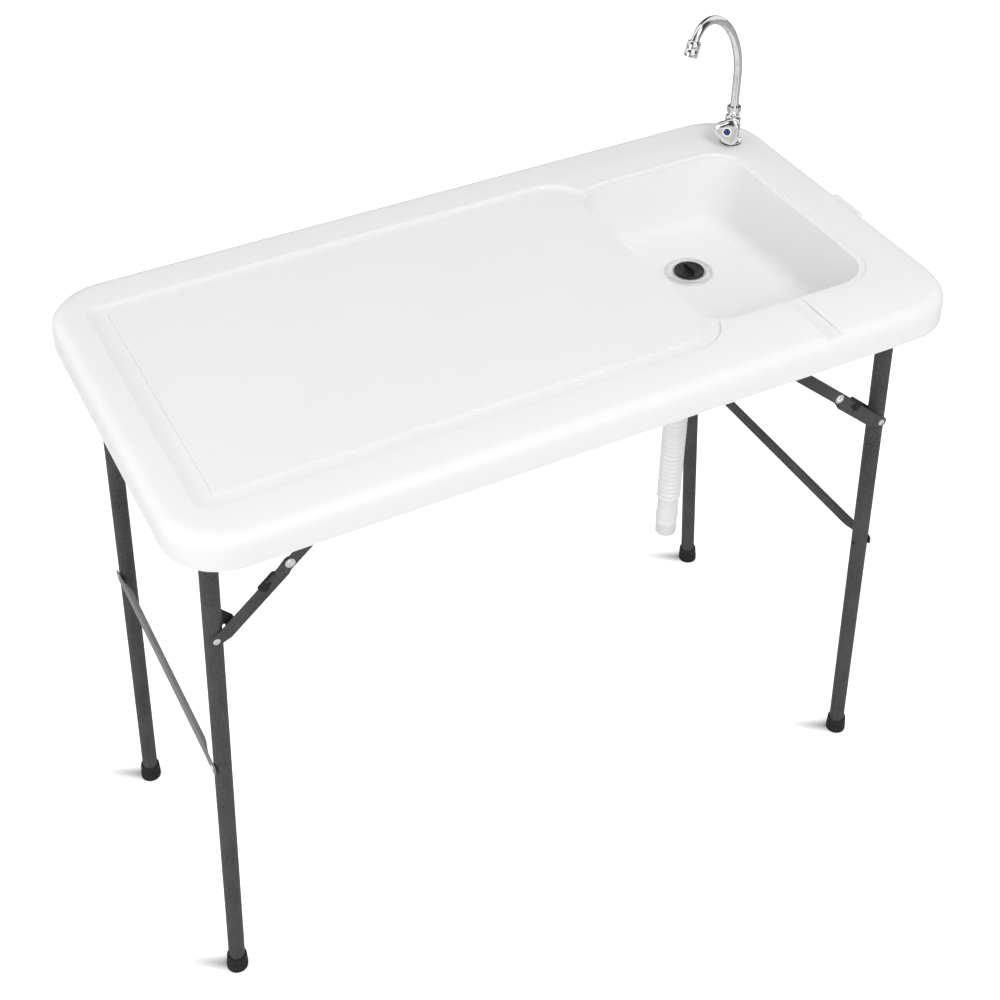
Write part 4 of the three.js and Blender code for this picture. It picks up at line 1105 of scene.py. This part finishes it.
def clear_of_painted_shadows(tree):
    """One where the ground is clear, less where a shadow is painted beside each foot."""
    shades = contact_shadow()
    clear = None
    for legs in LEG_SETS:
        for _, sign in SIDES:
            streak = tree.nodes.new("ShaderNodeGroup")
            streak.node_tree = shades
            foot = at(legs.pivot_x - legs.inward * legs.pivot_z * math.tan(SPLAY), sign * legs.leg_y, 0)
            streak.inputs["Foot"].default_value = foot
            # how dark the painted shadow is at this foot, in both the floor's colour and its glow
            shade = math_node(tree, "MULTIPLY", streak.outputs["Shade"], STREAK_SHADE)
            left = math_node(tree, "SUBTRACT", 1.0, shade)
            clear = left if clear is None else math_node(tree, "MULTIPLY", clear, left)
    return clear


def mix_shader(tree, factor, first, second):
    node = tree.nodes.new("ShaderNodeMixShader")
    for socket, value in zip(node.inputs, (factor, first, second)):
        tree.links.new(value, socket)
    return node.outputs[0]


def seen_directly(tree, rays):
    return math_node(tree, "MAXIMUM", rays.outputs["Is Camera Ray"], rays.outputs["Is Transmission Ray"])


def make_ground():
    """Pale floor with painted foot shadows; glows to the camera, darker in reflections, clear from below."""
    work = bmesh.new()
    bmesh.ops.create_grid(work, x_segments=1, y_segments=1, size=GROUND_HALF)
    mesh_data = mesh_from(work, "ground")
    ground = add_object("ground", mesh_data)
    ground.location.z = -GROUND_DEPTH
    material = bpy.data.materials.new("pale_ground")
    material.use_nodes = True
    tree = material.node_tree
    tree.nodes.clear()
    clear = clear_of_painted_shadows(tree)
    tone = tree.nodes.new("ShaderNodeCombineColor")
    for channel in tone.inputs[:3]:
        tree.links.new(clear, channel)
    diffuse = tree.nodes.new("ShaderNodeBsdfDiffuse")
    rays = tree.nodes.new("ShaderNodeLightPath")
    lit = mix_colour(tree, rays.outputs["Is Glossy Ray"], grey(GROUND_TONE), grey(GROUND_TONE_IN_CHROME))
    tree.links.new(mix_colour(tree, tone.outputs[0], grey(0.0), lit), diffuse.inputs["Color"])
    glow = tree.nodes.new("ShaderNodeEmission")
    tree.links.new(tone.outputs[0], glow.inputs["Color"])
    strength = math_node(tree, "MULTIPLY", seen_directly(tree, rays), GROUND_GLOW)
    tree.links.new(strength, glow.inputs["Strength"])
    both = tree.nodes.new("ShaderNodeAddShader")
    tree.links.new(diffuse.outputs[0], both.inputs[0])
    tree.links.new(glow.outputs[0], both.inputs[1])
    from_below = tree.nodes.new("ShaderNodeNewGeometry").outputs["Backfacing"]
    nothing = tree.nodes.new("ShaderNodeBsdfTransparent").outputs[0]
    output = tree.nodes.new("ShaderNodeOutputMaterial")
    tree.links.new(mix_shader(tree, from_below, both.outputs[0], nothing), output.inputs["Surface"])
    mesh_data.materials.append(material)


def make_world():
    """White to the camera, even light on the part, and bright and dark stripes in its reflections."""
    world = bpy.data.worlds.new("pale_room")
    bpy.context.scene.world = world
    world.use_nodes = True
    tree = world.node_tree
    light = tree.nodes["Background"]
    light.inputs["Color"].default_value = grey(1)
    light.inputs["Strength"].default_value = ROOM_LIGHT
    shown = tree.nodes.new("ShaderNodeBackground")
    shown.inputs["Color"].default_value = grey(1)
    shown.inputs["Strength"].default_value = 1.0
    rays = tree.nodes.new("ShaderNodeLightPath")
    direction = tree.nodes.new("ShaderNodeSeparateXYZ")
    tree.links.new(tree.nodes.new("ShaderNodeTexCoord").outputs["Generated"], direction.inputs[0])
    bearing = math_node(tree, "ARCTAN2", direction.outputs["Y"], direction.outputs["X"])
    wave = math_node(tree, "SINE", math_node(tree, "MULTIPLY_ADD", bearing, STRIPES, STRIPE_START))
    striped = tree.nodes.new("ShaderNodeBackground")
    stripe = remap(tree, wave, -0.5, 0.5, STRIPE_DARK, STRIPE_BRIGHT)
    tree.links.new(stripe, striped.inputs["Strength"])
    unseen = mix_shader(tree, rays.outputs["Is Glossy Ray"], light.outputs[0], striped.outputs[0])
    room = mix_shader(tree, seen_directly(tree, rays), unseen, shown.outputs[0])
    tree.links.new(room, tree.nodes["World Output"].inputs["Surface"])


def soft_lamp(name, place, aim, size, watts):
    data = bpy.data.lights.new(name, "AREA")
    data.shape = "SQUARE"
    data.size = size
    data.energy = watts
    lamp = add_object(name, data)
    lamp.location = place
    lamp.rotation_euler = (Vector(aim) - Vector(place)).to_track_quat("-Z", "Y").to_euler()


make_ground()
make_world()
soft_lamp("top_light", place=(-0.3, 0.4, 3.4), aim=(0, 0, 0.6), size=3.0, watts=8)
soft_lamp("left_light", place=(-3.4, -0.1, 1.4), aim=(0, 0, 0.6), size=1.8, watts=31)
soft_lamp("high_front_light", place=(0.3, -3.7, 4.4), aim=(0, 0, 0.8), size=2.0, watts=97)
soft_lamp("low_front_light", place=(1.0, -3.8, 1.3), aim=(0, 0, 0.7), size=1.6, watts=5)

bpy.context.scene.view_settings.view_transform = "Standard"


def corners(box):
    return [[float(number) for number in corner] for corner in box]
